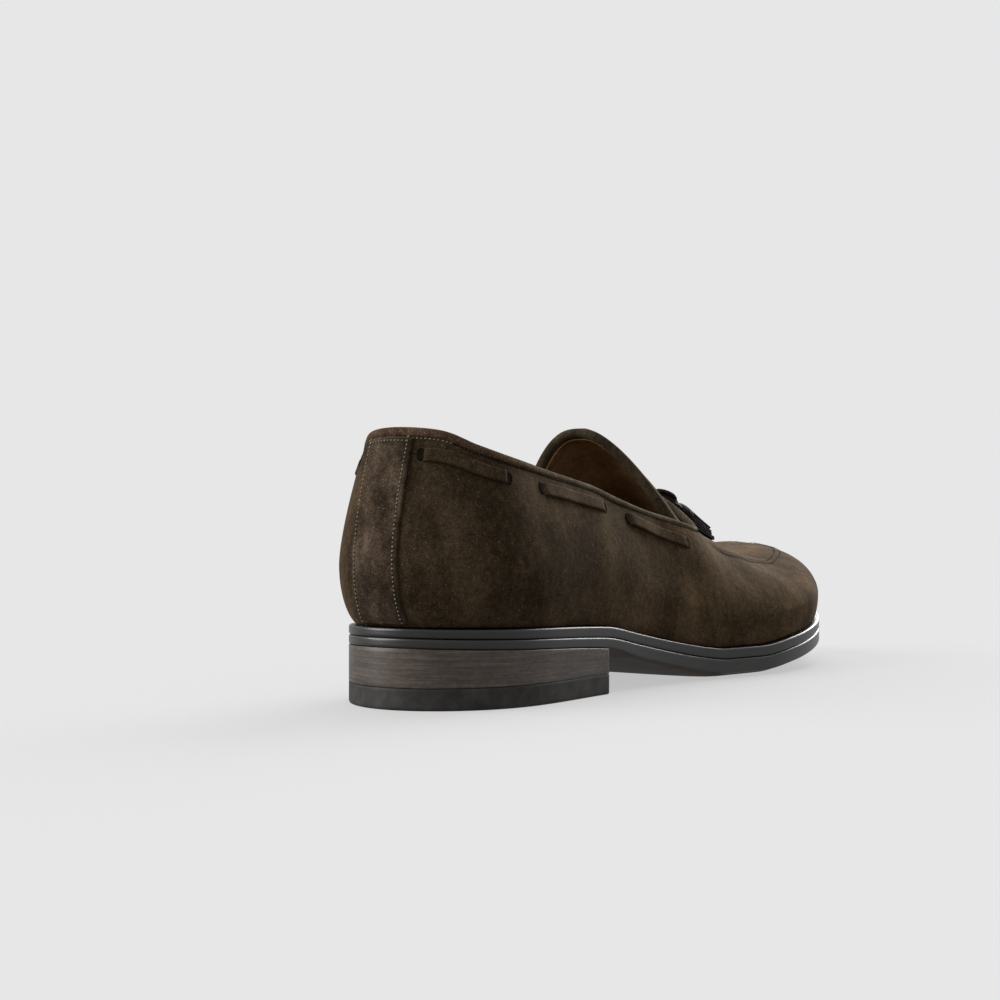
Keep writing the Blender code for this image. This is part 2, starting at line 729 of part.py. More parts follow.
def build_collar_binding(material):
    """Strip folded over the whole edge of the mouth, from the corner round the heel and over the throat."""
    outer = BINDING_GAP + BINDING_WALL
    inner = -UPPER_WALL - BINDING_GAP
    top = -GAP - BINDING_WALL
    outline = [
        (BINDING_LEG, outer), (0.0, outer), (top, BINDING_GAP * 0.5), (top, inner + BINDING_GAP * 0.5),
        (0.0, inner - BINDING_WALL), (BINDING_LEG, inner - BINDING_WALL),
        (BINDING_LEG, inner), (-GAP, inner), (-GAP, BINDING_GAP), (BINDING_LEG, BINDING_GAP),
    ]
    rings = [[head + down * a + out * b for a, b in outline] for head, _, down, out in mouth_frames()]
    return tube_solid("collar_binding", rings, material, closed=True)


def tongue_column(c, columns, rows):
    """One line of the tongue from under the vamp to its rim, on its outer and on its inner face."""
    side = "outer" if c >= 0 else "inner"
    share = abs(c) / columns
    v = TONGUE_LOW + (1 - TONGUE_LOW) * (1 - share)
    top_along = TONGUE_TOP + (TONGUE_SIDES[side] - TONGUE_TOP) * share**TONGUE_ROUNDING
    near, far = [], []
    bound = UPPER_WALL + BINDING_GAP + BINDING_WALL + TONGUE_CLEARANCE
    for r in range(rows + 1):
        free = max(0.0, 2 * r / rows - 1)
        depth = bound - TONGUE_FLARE[side] * math.sqrt(free * (1 - share))
        p = way_of(TONGUE_FRONT + (top_along - TONGUE_FRONT) * r / rows)
        near.append(skin(side, p, v, -depth))
        far.append(skin(side, p, v, -depth - TONGUE_WALL))
    return near, far


def build_tongue(tongue_material, binding_material):
    """Curved flap of the last's own form, under the throat edge and up to its rounded and bound rim."""
    columns, rows = 8, 9
    lines = [tongue_column(c, columns, rows) for c in range(-columns, columns + 1)]
    sheet_solid("tongue", [near for near, _ in lines], [far for _, far in lines], tongue_material)
    inner = TONGUE_WALL / 2 + BINDING_GAP
    outer = inner + BINDING_WALL
    top = -GAP - BINDING_WALL
    outline = [
        (BINDING_LEG, outer), (0.0, outer), (top, inner * 0.6), (top, -inner * 0.6), (0.0, -outer),
        (BINDING_LEG, -outer), (BINDING_LEG, -inner), (-GAP, -inner), (-GAP, inner), (BINDING_LEG, inner),
    ]
    heads = [(near[-1] + far[-1]) / 2 for near, far in lines]
    rings = []
    for k in range(1, len(lines) - 1):
        near, far = lines[k]
        side = "outer" if heads[k][0] > 0 else "inner"
        if heads[k][2] < topline_height(side, way_of(heads[k][1] / LENGTH)) + BINDING_LEG:
            continue
        down = (near[-2] + far[-2]) / 2 - heads[k]
        down /= np.linalg.norm(down)
        along = heads[k + 1] - heads[k - 1]
        out = np.cross(along, down)
        out /= np.linalg.norm(out)
        rings.append([heads[k] + down * a + out * b for a, b in outline])
    return tube_solid("tongue_binding", rings, binding_material)


def build_back_strip(material):
    """Strip over the back seam, from under the binding to the feather line."""
    half_way = {}
    for side, (_, line, _) in HALVES.items():
        half_way[side] = np.linalg.norm(np.diff(line, axis=0), axis=1).sum()
    rows, columns = 12, 4
    near, far = [], []
    top_v = mouth_point("outer", 0.0)[1]
    leg_v = v_at_height("outer", 0.0, topline_height("outer", 0.0) - BINDING_LEG - STRIP_CLEARANCE)
    for r in range(rows + 1):
        v = STRIP_FOOT + (leg_v - STRIP_FOOT) * r / rows
        flare = STRIP_NARROW + (1 - STRIP_NARROW) * (2 * abs(r / rows - STRIP_NARROWEST)) ** 2
        near_row, far_row = [], []
        for c in range(-columns, columns + 1):
            side = "outer" if c >= 0 else "inner"
            reach = STRIP_WIDTH / 2 * flare + (STRIP_SHIFT if side == "inner" else -STRIP_SHIFT)
            p = abs(c) / columns * reach / half_way[side]
            near_row.append(skin(side, p, min(v, top_v), OVERLAY_GAP))
            far_row.append(skin(side, p, min(v, top_v), OVERLAY_GAP + STRIP_WALL))
        near.append(near_row)
        far.append(far_row)
    return sheet_solid("back_strip", near, far, material)


def build_lace_bars(material):
    """Six flat lengths of the lace that lie on the quarters between its slots."""
    steps = 8
    for side in ("outer", "inner"):
        for number, (start, end, drop_start, drop_end) in enumerate(LACE_BARS, 1):
            rings = []
            for k in range(steps + 1):
                share = k / steps
                p = way_of(start) + (way_of(end) - way_of(start)) * share
                z = topline_height(side, p) - (drop_start + (drop_end - drop_start) * share)
                low = v_at_height(side, p, z - LACE_WIDTH / 2)
                high = v_at_height(side, p, z + LACE_WIDTH / 2)
                rings.append([
                    skin(side, p, low, OVERLAY_GAP), skin(side, p, high, OVERLAY_GAP),
                    skin(side, p, high, OVERLAY_GAP + LACE_THICK * LACE_SHOULDER),
                    skin(side, p, (low + high) / 2, OVERLAY_GAP + LACE_THICK),
                    skin(side, p, low, OVERLAY_GAP + LACE_THICK * LACE_SHOULDER),
                ])
            tube_solid(f"lace_bar_{side}_{number}", rings, material)


def build_apron_seam(tree, material):
    """Raised seam that runs from the throat's corners round the top of the toe."""
    line = [(row[0], row[1]) for row in APRON]
    route = [(a, across) for a, across in line] + [(APRON_FRONT, 0.0)]
    route += [(row[0], -row[2]) for row in APRON[::-1]]
    plan = []
    for a, across in route:
        y = a * LENGTH
        plan.append(np.array([crown_line_x(y) + across * BALL_WIDTH, y]))
    smooth = []
    steps = 4
    for i in range(len(plan) - 1):
        before, after = plan[max(i - 1, 0)], plan[min(i + 2, len(plan) - 1)]
        for k in range(steps):
            t = k / steps
            pull = (plan[i] * 2 + (plan[i + 1] - before) * t
                    + (2 * before - 5 * plan[i] + 4 * plan[i + 1] - after) * t**2
                    + (3 * plan[i] - before - 3 * plan[i + 1] + after) * t**3) / 2
            smooth.append(pull)
    smooth.append(plan[-1])
    found = [surface_at(tree, *point) for point in smooth]
    points = [hit for hit, _ in found]
    normals = [normal for _, normal in found]
    half = SEAM_WIDTH / 2
    low = OVERLAY_GAP
    shoulder = low + SEAM_HEIGHT * SHOULDER
    outline = [
        (-half, low), (half, low), (half * SHOULDER_OUT, shoulder), (0.0, low + SEAM_HEIGHT),
        (-half * SHOULDER_OUT, shoulder),
    ]
    frames = frames_along(points, normals)
    rings = [section_ring(point, frame, outline) for point, frame in zip(points, frames)]
    return tube_solid("apron_seam", rings, material)


def lift_from_vamp(tree, across, along, height):
    """A point a height over the vamp, from shares of the ball width and the length."""
    y = along * LENGTH
    hit, normal = surface_at(tree, crown_line_x(y) + across * BALL_WIDTH, y)
    return hit + normal * height, normal


def build_lace_front(tree, material):
    """The lace over the vamp in front of the throat, flat on the upper from slot to slot."""
    rings = []
    steps = 18
    for k in range(steps + 1):
        share = 2 * k / steps - 1
        end_across = LACE_FRONT_OUTER if share > 0 else LACE_FRONT_INNER
        along = KNOT_ALONG - (KNOT_ALONG - LACE_FRONT_ALONG) * abs(share) ** 1.5
        low, normal = lift_from_vamp(tree, end_across * abs(share), along, OVERLAY_GAP + GAP)
        forward = np.array([0.0, 1.0, 0.0])
        forward = forward - normal * np.dot(forward, normal)
        forward = forward / np.linalg.norm(forward) * LACE_WIDTH / 2
        up = normal * LACE_THICK
        shoulder = up * LACE_SHOULDER
        rings.append([low + forward, low + forward + shoulder, low + up, low - forward + shoulder, low - forward])
    return tube_solid("lace_front", rings, material)


def build_knot(tree, material):
    """The plain rounded form of the knot, on the lace over the ridge of the vamp."""
    low, normal = lift_from_vamp(tree, KNOT_ACROSS, KNOT_ALONG, OVERLAY_GAP + GAP + LACE_THICK)
    work = bmesh.new()
    bmesh.ops.create_uvsphere(work, u_segments=12, v_segments=8, radius=1)
    turn = Vector(normal).to_track_quat("Z", "Y").to_matrix()
    for vertex in work.verts:
        x, y, z = vertex.co
        vertex.co = turn @ Vector((x * KNOT_WIDE / 2, y * KNOT_LONG / 2, z * KNOT_TALL / 2))
        vertex.co += Vector(low + normal * (KNOT_TALL / 2 + GAP))
    faces = [[vertex.index for vertex in face.verts] for face in work.faces]
    points = [tuple(vertex.co) for vertex in work.verts]
    work.free()
    return add_object("knot", points, faces, material)


def build_tassel(tree, side, material):
    """A lace end, its rolled cap and a skirt of strips fused to one another, lying on the vamp."""
    tip_along, tip_across = TASSEL_TIPS[side]
    turn = 1 if side == "outer" else -1
    start_along, start_across = KNOT_ALONG + TASSEL_START_ALONG, KNOT_ACROSS + turn * TASSEL_START_ACROSS
    count = 17
    centres, normals = [], []
    for k in range(count):
        share = k / (count - 1)
        along = start_along + (tip_along - start_along) * share
        across = start_across + (tip_across - start_across) * share
        point, normal = lift_from_vamp(tree, across, along, 0.0)
        centres.append(point)
        normals.append(normal)
    frames = frames_along(centres, normals)
    rings = []
    for share, half_width, half_thick, groove in TASSEL:
        spot = share * (count - 1)
        i = min(int(spot), count - 2)
        t = spot - i
        centre = centres[i] * (1 - t) + centres[i + 1] * t
        along, across, up = frames[min(i + round(t), count - 1)]
        half_up = half_thick * TASSEL_THICK
        base = centre + up * (OVERLAY_GAP + half_up)
        ring = []
        for k in range(TASSEL_STRIPS * 2):
            angle = math.pi * k / TASSEL_STRIPS
            reach = 1.0 - (groove if k % 2 else 0.0)
            ragged = TASSEL_LENGTH * TASSEL_RAGGED * math.sin(k * 2.4) if share == 1.0 else 0.0
            ring.append(base + across * math.cos(angle) * half_width * TASSEL_WIDTH * reach
                        + up * math.sin(angle) * half_up * reach + along * ragged)
        rings.append(ring)
    tube_solid(f"tassel_{side}", rings, material)


def clear_scene():
    for obj in list(bpy.data.objects):
        bpy.data.objects.remove(obj, do_unlink=True)


clear_scene()
shoe = bpy.data.collections.new("tassel_loafer")
bpy.context.scene.collection.children.link(shoe)

suede = new_material("dark_brown_suede", (0.058, 0.043, 0.032), 0.95)
suede_dark = new_material("olive_brown_binding", (0.047, 0.038, 0.025), 0.9)
lining = new_material("tan_lining_leather", (0.36, 0.19, 0.08), 0.6)
welt_leather = new_material("black_edge_leather", (0.02, 0.02, 0.02), 0.35)
sole_leather = new_material("dark_sole_leather", (0.035, 0.033, 0.03), 0.4)
stack_leather = new_material("brown_stacked_leather", (0.13, 0.09, 0.065), 0.45)
rubber = new_material("black_heel_rubber", (0.045, 0.043, 0.04), 0.6)
lace_leather = new_material("dark_lace_leather", (0.03, 0.024, 0.02), 0.6)

build_outsole(sole_leather)
build_midsole(welt_leather)
build_heel(stack_leather, rubber)
build_insole(lining)
upper_tree = build_upper(suede)
build_collar_binding(suede_dark)
build_tongue(suede, suede_dark)
build_back_strip(suede)
build_apron_seam(upper_tree, suede)
build_lace_bars(suede)
build_lace_front(upper_tree, lace_leather)
build_knot(upper_tree, lace_leather)
for tassel_side in ("outer", "inner"):
    build_tassel(upper_tree, tassel_side, lace_leather)
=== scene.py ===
# Tassel loafer, the right shoe of a pair: its looks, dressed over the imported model.
# Metres, +Z up, +Y to the toe, +X to the outer side, origin on the ground under the middle of the heel.

import math

import bmesh
import bpy
import numpy as np
from mathutils import Matrix, Vector
from mathutils.bvhtree import BVHTree


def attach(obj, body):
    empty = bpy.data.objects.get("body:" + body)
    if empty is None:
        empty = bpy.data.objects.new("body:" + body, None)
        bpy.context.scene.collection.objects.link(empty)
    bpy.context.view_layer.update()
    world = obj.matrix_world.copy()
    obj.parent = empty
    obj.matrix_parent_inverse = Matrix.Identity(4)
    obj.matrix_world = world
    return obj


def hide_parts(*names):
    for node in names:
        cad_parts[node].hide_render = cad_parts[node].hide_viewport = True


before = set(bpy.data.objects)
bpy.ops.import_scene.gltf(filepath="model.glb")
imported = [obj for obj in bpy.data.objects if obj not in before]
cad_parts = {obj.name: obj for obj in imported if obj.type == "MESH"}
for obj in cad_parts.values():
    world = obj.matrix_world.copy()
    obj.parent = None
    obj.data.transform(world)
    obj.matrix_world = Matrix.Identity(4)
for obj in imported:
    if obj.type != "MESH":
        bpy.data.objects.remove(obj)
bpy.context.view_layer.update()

MM = 0.001


# The camera
# A long lens stands low behind the heel's outer side and looks level along the shoe, as the photograph does.
# Its height and distance follow from where the heel, the ball and the toe lie in the frame.
VIEW_TURN = math.radians(34.5)
VIEW_DISTANCE = 593 * MM
VIEW_SIDE = 37.8 * MM
VIEW_HEIGHT = 66.7 * MM
FOCAL_SHARE = 1.831
HORIZON_SHIFT = 0.004
HEEL_LENGTH = 82 * MM

camera_data = bpy.data.cameras.new("camera")
camera = bpy.data.objects.new("camera", camera_data)
bpy.context.scene.collection.objects.link(camera)
camera_x = VIEW_SIDE * math.cos(VIEW_TURN) + VIEW_DISTANCE * math.sin(VIEW_TURN)
camera_y = VIEW_SIDE * math.sin(VIEW_TURN) - VIEW_DISTANCE * math.cos(VIEW_TURN) - HEEL_LENGTH / 2
level = Matrix.Rotation(VIEW_TURN, 4, "Z") @ Matrix.Rotation(math.pi / 2, 4, "X")
camera.matrix_world = Matrix.Translation((camera_x, camera_y, VIEW_HEIGHT)) @ level
camera_data.sensor_width = 36
camera_data.lens = camera_data.sensor_width * FOCAL_SHARE
camera_data.shift_y = HORIZON_SHIFT
camera_data.clip_start = 0.01
bpy.context.scene.camera = camera


# The upper
# Brown suede, 1 mm thick, cut in one with the quarters and pulled wet over the wooden last, which shapes it.
# The last is a smooth outline, the sole's side view and a row of sections, in shares of the named sizes.
LENGTH = 296 * MM
HEEL_WIDTH = 71 * MM
HEEL_ROUND = 45 * MM
WAIST_WIDTH = 65 * MM
BALL_WIDTH = 104 * MM
HEEL_HEIGHT = 20.2 * MM
TOE_SPRING = 14.8 * MM
OUTSOLE = 7.5 * MM
MIDSOLE = 4.1 * MM
EDGE_ROUNDING = 1.9 * MM
COMB_RISE = 88 * MM
THROAT_RISE = 66 * MM
TOE_RISE = 30 * MM
BACK_RISE = 64.6 * MM
FEATHER_INSET = 2.2 * MM
BULGE = 3.3 * MM
WIDEST = 20 * MM
GAP = 0.3 * MM
CROWN_SOFTNESS = 0.12
TOE_ACROSS = -0.115
CORNER = 0.534
THROAT_CENTRE = 0.562
V_WIDEST = 0.22
TUCK = math.radians(70)

OUTLINE = (
    # name, along, outer, inner, share of
    ("seat", 0.152, 0.500, 0.500, HEEL_WIDTH),
    ("heel side", 0.216, 0.500, 0.487, HEEL_WIDTH),
    ("breast", 0.277, 0.496, 0.454, HEEL_WIDTH),
    ("waist", 0.372, 0.550, 0.450, WAIST_WIDTH),
    ("waist front", 0.470, 0.604, 0.499, WAIST_WIDTH),
    ("outer joint", 0.568, 0.437, 0.399, BALL_WIDTH),
    ("joints", 0.635, 0.477, 0.471, BALL_WIDTH),
    ("ball", 0.689, 0.488, 0.503, BALL_WIDTH),
    ("inner joint", 0.743, 0.474, 0.512, BALL_WIDTH),
    ("vamp", 0.797, 0.430, 0.493, BALL_WIDTH),
    ("little toe", 0.845, 0.364, 0.456, BALL_WIDTH),
    ("toe box", 0.885, 0.294, 0.420, BALL_WIDTH),
    ("toes", 0.926, 0.208, 0.376, BALL_WIDTH),
    ("toe cap", 0.959, 0.122, 0.326, BALL_WIDTH),
    ("toe round", 0.985, 0.026, 0.262, BALL_WIDTH),
)

SOLE = (
    # along, heel, spring, midsole, outsole, rounding
    (0.000, 1.000, 0.000, 0.78, 0.43, 0.0),
    (0.277, 0.802, 0.000, 0.93, 0.51, 0.1),
    (0.355, 0.515, 0.000, 0.95, 0.76, 0.4),
    (0.429, 0.272, 0.000, 0.97, 0.86, 0.7),
    (0.500, 0.065, 0.000, 0.99, 0.96, 0.9),
    (0.534, 0.000, 0.000, 1.00, 1.00, 1.0),
    (0.601, 0.000, 0.000, 1.00, 1.00, 1.0),
    (0.676, 0.000, 0.162, 1.02, 1.00, 1.0),
    (0.750, 0.000, 0.365, 1.02, 1.00, 1.0),
    (0.828, 0.000, 0.574, 1.02, 0.97, 1.0),
    (0.895, 0.000, 0.743, 1.02, 0.94, 1.0),
    (1.000, 0.000, 1.000, 1.00, 0.87, 1.0),
)

SECTIONS = (
    # along, crown along, crown across, rise, rise of, widest,
    # outer bulge and powers across and up, inner bulge and powers across and up
    (0.000, 0.145, 0.000, 1.420, COMB_RISE, 1.00, 1.00, 1.20, 1.55, 1.00, 1.20, 1.55),
    (0.068, 0.152, 0.000, 1.220, COMB_RISE, 1.00, 0.95, 1.20, 1.55, 0.95, 1.20, 1.55),
    (0.152, 0.169, -0.005, 1.035, COMB_RISE, 0.95, 0.55, 1.18, 1.55, 0.60, 1.20, 1.55),
    (0.216, 0.223, -0.015, 1.020, COMB_RISE, 0.90, 0.30, 1.15, 1.55, 0.50, 1.30, 1.60),
    (0.338, 0.338, -0.030, 0.965, COMB_RISE, 0.85, 0.10, 1.25, 1.52, 0.75, 2.00, 1.80),
    (0.439, 0.439, -0.055, 0.945, COMB_RISE, 0.75, 0.00, 1.62, 1.26, 0.75, 2.90, 1.95),
    (0.463, 0.463, -0.058, 0.930, COMB_RISE, 0.72, 0.00, 1.75, 1.32, 0.60, 2.90, 1.95),
    (0.500, 0.500, -0.058, 0.875, COMB_RISE, 0.70, 0.00, 1.75, 1.40, 0.40, 2.75, 1.90),
    (0.534, 0.534, -0.060, 1.050, THROAT_RISE, 0.65, 0.00, 1.66, 1.38, 0.20, 2.50, 1.80),
    (0.557, 0.557, -0.060, 0.957, THROAT_RISE, 0.60, 0.00, 1.60, 1.32, 0.10, 2.30, 1.70),
    (0.601, 0.601, -0.062, 0.818, THROAT_RISE, 0.57, 0.00, 1.60, 1.22, 0.00, 2.10, 1.60),
    (0.642, 0.642, -0.066, 0.705, THROAT_RISE, 0.55, 0.00, 1.62, 1.28, 0.00, 2.00, 1.60),
    (0.699, 0.699, -0.074, 0.548, THROAT_RISE, 0.52, 0.00, 1.75, 1.50, 0.00, 2.00, 1.70),
    (0.760, 0.760, -0.082, 0.985, TOE_RISE, 0.50, -0.05, 2.10, 1.86, -0.05, 2.10, 1.86),
    (0.828, 0.816, -0.094, 0.975, TOE_RISE, 0.45, -0.12, 2.48, 2.05, -0.12, 2.48, 2.05),
    (0.885, 0.850, -0.100, 0.965, TOE_RISE, 0.40, -0.20, 2.75, 2.15, -0.20, 2.75, 2.15),
    (0.946, 0.872, -0.104, 0.957, TOE_RISE, 0.34, -0.36, 2.62, 1.90, -0.36, 2.62, 1.90),
    (0.980, 0.882, -0.106, 0.948, TOE_RISE, 0.30, -0.52, 2.10, 1.35, -0.52, 2.10, 1.35),
    (1.000, 0.886, -0.107, 0.945, TOE_RISE, 0.28, -0.55, 2.10, 1.30, -0.55, 2.10, 1.30),
)

TOPLINE = (
    # along, outer, inner
    (0.000, 1.000, 1.000),
    (0.017, 0.985, 0.985),
    (0.051, 0.918, 0.932),
    (0.095, 0.868, 0.888),
    (0.152, 0.834, 0.858),
    (0.203, 0.802, 0.830),
    (0.338, 0.744, 0.778),
    (0.439, 0.732, 0.764),
    (0.534, 0.705, 0.730),
)


def through(xs, ys):
    """A smooth function through the points that never overshoots them."""
    xs, ys = np.array(xs), np.array(ys)
    steps = np.diff(xs)
    slopes = np.diff(ys) / steps
    tangents = np.zeros(len(xs))
    tangents[0], tangents[-1] = slopes[0], slopes[-1]
    for i in range(1, len(xs) - 1):
        if slopes[i - 1] * slopes[i] > 0:
            tangents[i] = 2 * slopes[i - 1] * slopes[i] / (slopes[i - 1] + slopes[i])
    fine = np.linspace(xs[0], xs[-1], 4001)
    i = np.clip(np.searchsorted(xs, fine, side="right") - 1, 0, len(xs) - 2)
    t = (fine - xs[i]) / steps[i]
    curve = (2 * t**3 - 3 * t**2 + 1) * ys[i] + (t**3 - 2 * t**2 + t) * tangents[i] * steps[i]
    curve = curve + (3 * t**2 - 2 * t**3) * ys[i + 1] + (t**3 - t**2) * tangents[i + 1] * steps[i]
    return lambda at: np.interp(at, fine, curve)


def columns(table):
    """One smooth function for each column of a table that starts with the place along the shoe."""
    along = [row[0] for row in table]
    return [through(along, [row[c] for row in table]) for c in range(1, len(table[0]))]


heel_share, spring_share, midsole_share, outsole_share, rounding_share = columns(SOLE)
crown_along, crown_across, crown_rise, widest_share, *fullness = columns(
    [(a, b, c, rise * size, *rest) for a, b, c, rise, size, *rest in SECTIONS])
FULLNESS = {"outer": fullness[:3], "inner": fullness[3:]}
TOPLINES = dict(zip(("outer", "inner"), columns(TOPLINE)))


def closed_spline(points, count):
    """Smooth closed curve through the points, with count points from each to the next."""
    points = np.array(points)
    total = len(points)
    chords = np.linalg.norm(np.roll(points, -1, axis=0) - points, axis=1)
    matrix, right = np.zeros((total, total)), np.zeros((total, 2))
    for i in range(total):
        before, after, n = chords[i - 1], chords[i], (i + 1) % total
        matrix[i, i - 1], matrix[i, i], matrix[i, n] = after, 2 * (before + after), before
        coming, going = points[i] - points[i - 1], points[n] - points[i]
        right[i] = 3 * (after * coming / before + before * going / after)
    tangents = np.linalg.solve(matrix, right)
    curve = []
    for i in range(total):
        n = (i + 1) % total
        t = (np.arange(count) / count)[:, None]
        start = (2 * t**3 - 3 * t**2 + 1) * points[i] + (t**3 - 2 * t**2 + t) * chords[i] * tangents[i]
        end = (3 * t**2 - 2 * t**3) * points[n] + (t**3 - t**2) * chords[i] * tangents[n]
        curve.append(start + end)
    return np.vstack(curve)


def half_outlines():
    """Both halves of the sole's outline from heel to toe: share of the way, place and outward normal."""
    turns = [math.radians(angle) for angle in (22, 44, 66)]
    heel = [(HEEL_WIDTH / 2 * math.sin(a), HEEL_ROUND * (1 - math.cos(a))) for a in turns]
    outer = [(row[2] * row[4], row[1] * LENGTH) for row in OUTLINE]
    inner = [(-row[3] * row[4], row[1] * LENGTH) for row in OUTLINE]
    tip = (TOE_ACROSS * BALL_WIDTH, LENGTH)
    points = [(0.0, 0.0)] + heel + outer + [tip] + inner[::-1] + [(-x, y) for x, y in heel[::-1]]
    per_span = 24
    curve = closed_spline(points, per_span)
    split = (1 + len(heel) + len(outer)) * per_span
    found = {}
    for side, line in (("outer", curve[: split + 1]), ("inner", np.vstack([curve[split:], curve[:1]])[::-1])):
        turn = 1 if side == "outer" else -1
        way = np.concatenate([[0], np.cumsum(np.linalg.norm(np.diff(line, axis=0), axis=1))])
        along = np.gradient(line, axis=0)
        along[0], along[-1] = (turn, 0), (-turn, 0)
        along /= np.linalg.norm(along, axis=1)[:, None]
        found[side] = (way / way[-1], line, np.stack([along[:, 1], -along[:, 0]], axis=1) * turn)
        LENGTHS[side] = way[-1]
    return found


LENGTHS = {}
HALVES = half_outlines()


def edge(side, p):
    """Places on the outline and outward normals at shares p of the way from heel to toe."""
    way, line, normal = HALVES[side]
    place = np.stack([np.interp(p, way, line[:, 0]), np.interp(p, way, line[:, 1])], axis=-1)
    out = np.stack([np.interp(p, way, normal[:, 0]), np.interp(p, way, normal[:, 1])], axis=-1)
    return place, out / np.linalg.norm(out, axis=-1, keepdims=True)


WAY = np.linspace(0, 1, 401)
WAY_ALONG = (edge("outer", WAY)[0][:, 1] + edge("inner", WAY)[0][:, 1]) / 2 / LENGTH


def along_of(p):
    return np.interp(p, WAY, WAY_ALONG)


def way_of(along):
    return np.interp(along, WAY_ALONG, WAY)


def underside(y):
    return heel_share(y / LENGTH) * HEEL_HEIGHT + spring_share(y / LENGTH) * TOE_SPRING


def outsole_top(y):
    return underside(y) + outsole_share(y / LENGTH) * OUTSOLE


def sole_top(y):
    return outsole_top(y) + midsole_share(y / LENGTH) * MIDSOLE


def crown_line_x(y):
    return crown_across(y / LENGTH) * BALL_WIDTH


def wall_half(side, p, v):
    """Outer face of the upper for p and v from 0 to 1: v is 0 at the feather line and 1 at the crown."""
    along = along_of(p)
    place, out = edge(side, p)
    bulge, across_power, rise_power = (column(along) for column in FULLNESS[side])
    crown_y = crown_along(along) * LENGTH
    crown = np.stack([crown_across(along) * BALL_WIDTH, crown_y], axis=-1)
    crown_z = sole_top(crown_y) + crown_rise(along)
    foot = place - out * FEATHER_INSET
    widest = place + out * (bulge * BULGE)[..., None]
    low = sole_top(place[..., 1]) + GAP
    lift = widest_share(along) * WIDEST
    tuck = TUCK * (1 - np.minimum(v / V_WIDEST, 1))
    tucked = (1 - np.cos(tuck)) / (1 - math.cos(TUCK))
    tuck_z = low + lift * (1 - np.sin(tuck) / math.sin(TUCK))
    turn = np.clip((v - V_WIDEST) / (1 - V_WIDEST), 0, 1) * math.pi / 2
    inward = np.maximum(np.cos(turn), 0) ** (2 / across_power)
    full = (1 + CROWN_SOFTNESS**2) ** (across_power / 2) - CROWN_SOFTNESS**across_power
    fallen = ((inward**2 + CROWN_SOFTNESS**2) ** (across_power / 2) - CROWN_SOFTNESS**across_power) / full
    upward = np.maximum(1 - fallen, 0) ** (1 / rise_power)
    plan = crown + (widest - crown) * inward[..., None] + (foot - widest) * tucked[..., None]
    z = np.where(v < V_WIDEST, tuck_z, low + lift + (crown_z - low - lift) * upward)
    return np.concatenate([plan, z[..., None]], axis=-1)


def wall(side, p, v):
    """The upper's outer face, also a little past the heel, the toe or the crown, onto the other side."""
    p, v = np.broadcast_arrays(np.asarray(p, dtype=float), np.asarray(v, dtype=float))
    other = "inner" if side == "outer" else "outer"
    crossed = ((p < 0).astype(int) + (p > 1) + (v > 1)) % 2 == 1
    p = np.where(p < 0, -p, np.where(p > 1, 2 - p, p))
    v = np.clip(np.where(v > 1, 2 - v, v), 0, 1)
    return np.where(crossed[..., None], wall_half(other, p, v), wall_half(side, p, v))


def wall_normal(side, p, v):
    """Outward normals of the upper, from points close by."""
    small = 0.004
    p, v = np.broadcast_arrays(np.asarray(p, dtype=float), np.asarray(v, dtype=float))
    below = np.minimum(v, 1 - small)
    forward = wall(side, p + small, below) - wall(side, p - small, below)
    over = wall(side, p, v + small) - wall(side, p, np.maximum(v - small, 0))
    at_tip = (p > 1 - small)[..., None]
    up = np.where(at_tip, wall(side, p, v) - wall(side, p, np.maximum(v - 2 * small, 0)), over)
    up = np.where(at_tip & (v < small)[..., None], over, up)
    normal = np.cross(forward, up) * (1 if side == "outer" else -1)
    return normal / np.linalg.norm(normal, axis=-1, keepdims=True)


def skin(side, p, v, out):
    """Points a distance out from the upper's outer face, or in from it where out is negative."""
    return wall(side, p, v) + wall_normal(side, p, v) * np.asarray(out)[..., None]


def v_at_height(side, p, z):
    """Where up the wall each height is reached."""
    low, high = np.zeros_like(p), np.ones_like(p)
    for _ in range(30):
        middle = (low + high) / 2
        under = wall(side, p, middle)[..., 2] < z
        low, high = np.where(under, middle, low), np.where(under, high, middle)
    return (low + high) / 2


def topline_height(side, p):
    return sole_top(edge(side, p)[0][..., 1]) + TOPLINES[side](along_of(p)) * BACK_RISE


def mouth(side, share):
    """The opening's edge as p and v: shares 0 to 1 are the topline, 1 to 2 the throat edge."""
    share = np.asarray(share, dtype=float)
    p_corner = way_of(CORNER)
    top_p = np.minimum(share, 1) * p_corner
    top_v = v_at_height(side, top_p, topline_height(side, top_p))
    turn = np.clip(share - 1, 0, 1) * math.pi / 2
    p = top_p + (way_of(THROAT_CENTRE) - p_corner) * np.sin(turn) ** 0.8
    return p, top_v + (1 - top_v) * (1 - np.cos(turn)) ** 0.75


THROAT_FOOT = 0.662
SUEDE = 1.0 * MM
LINING = 0.9 * MM
STATIONS_TO_CORNER, STATIONS_OF_THROAT, STATIONS_TO_TOE = 96, 26, 88
ROWS = 60

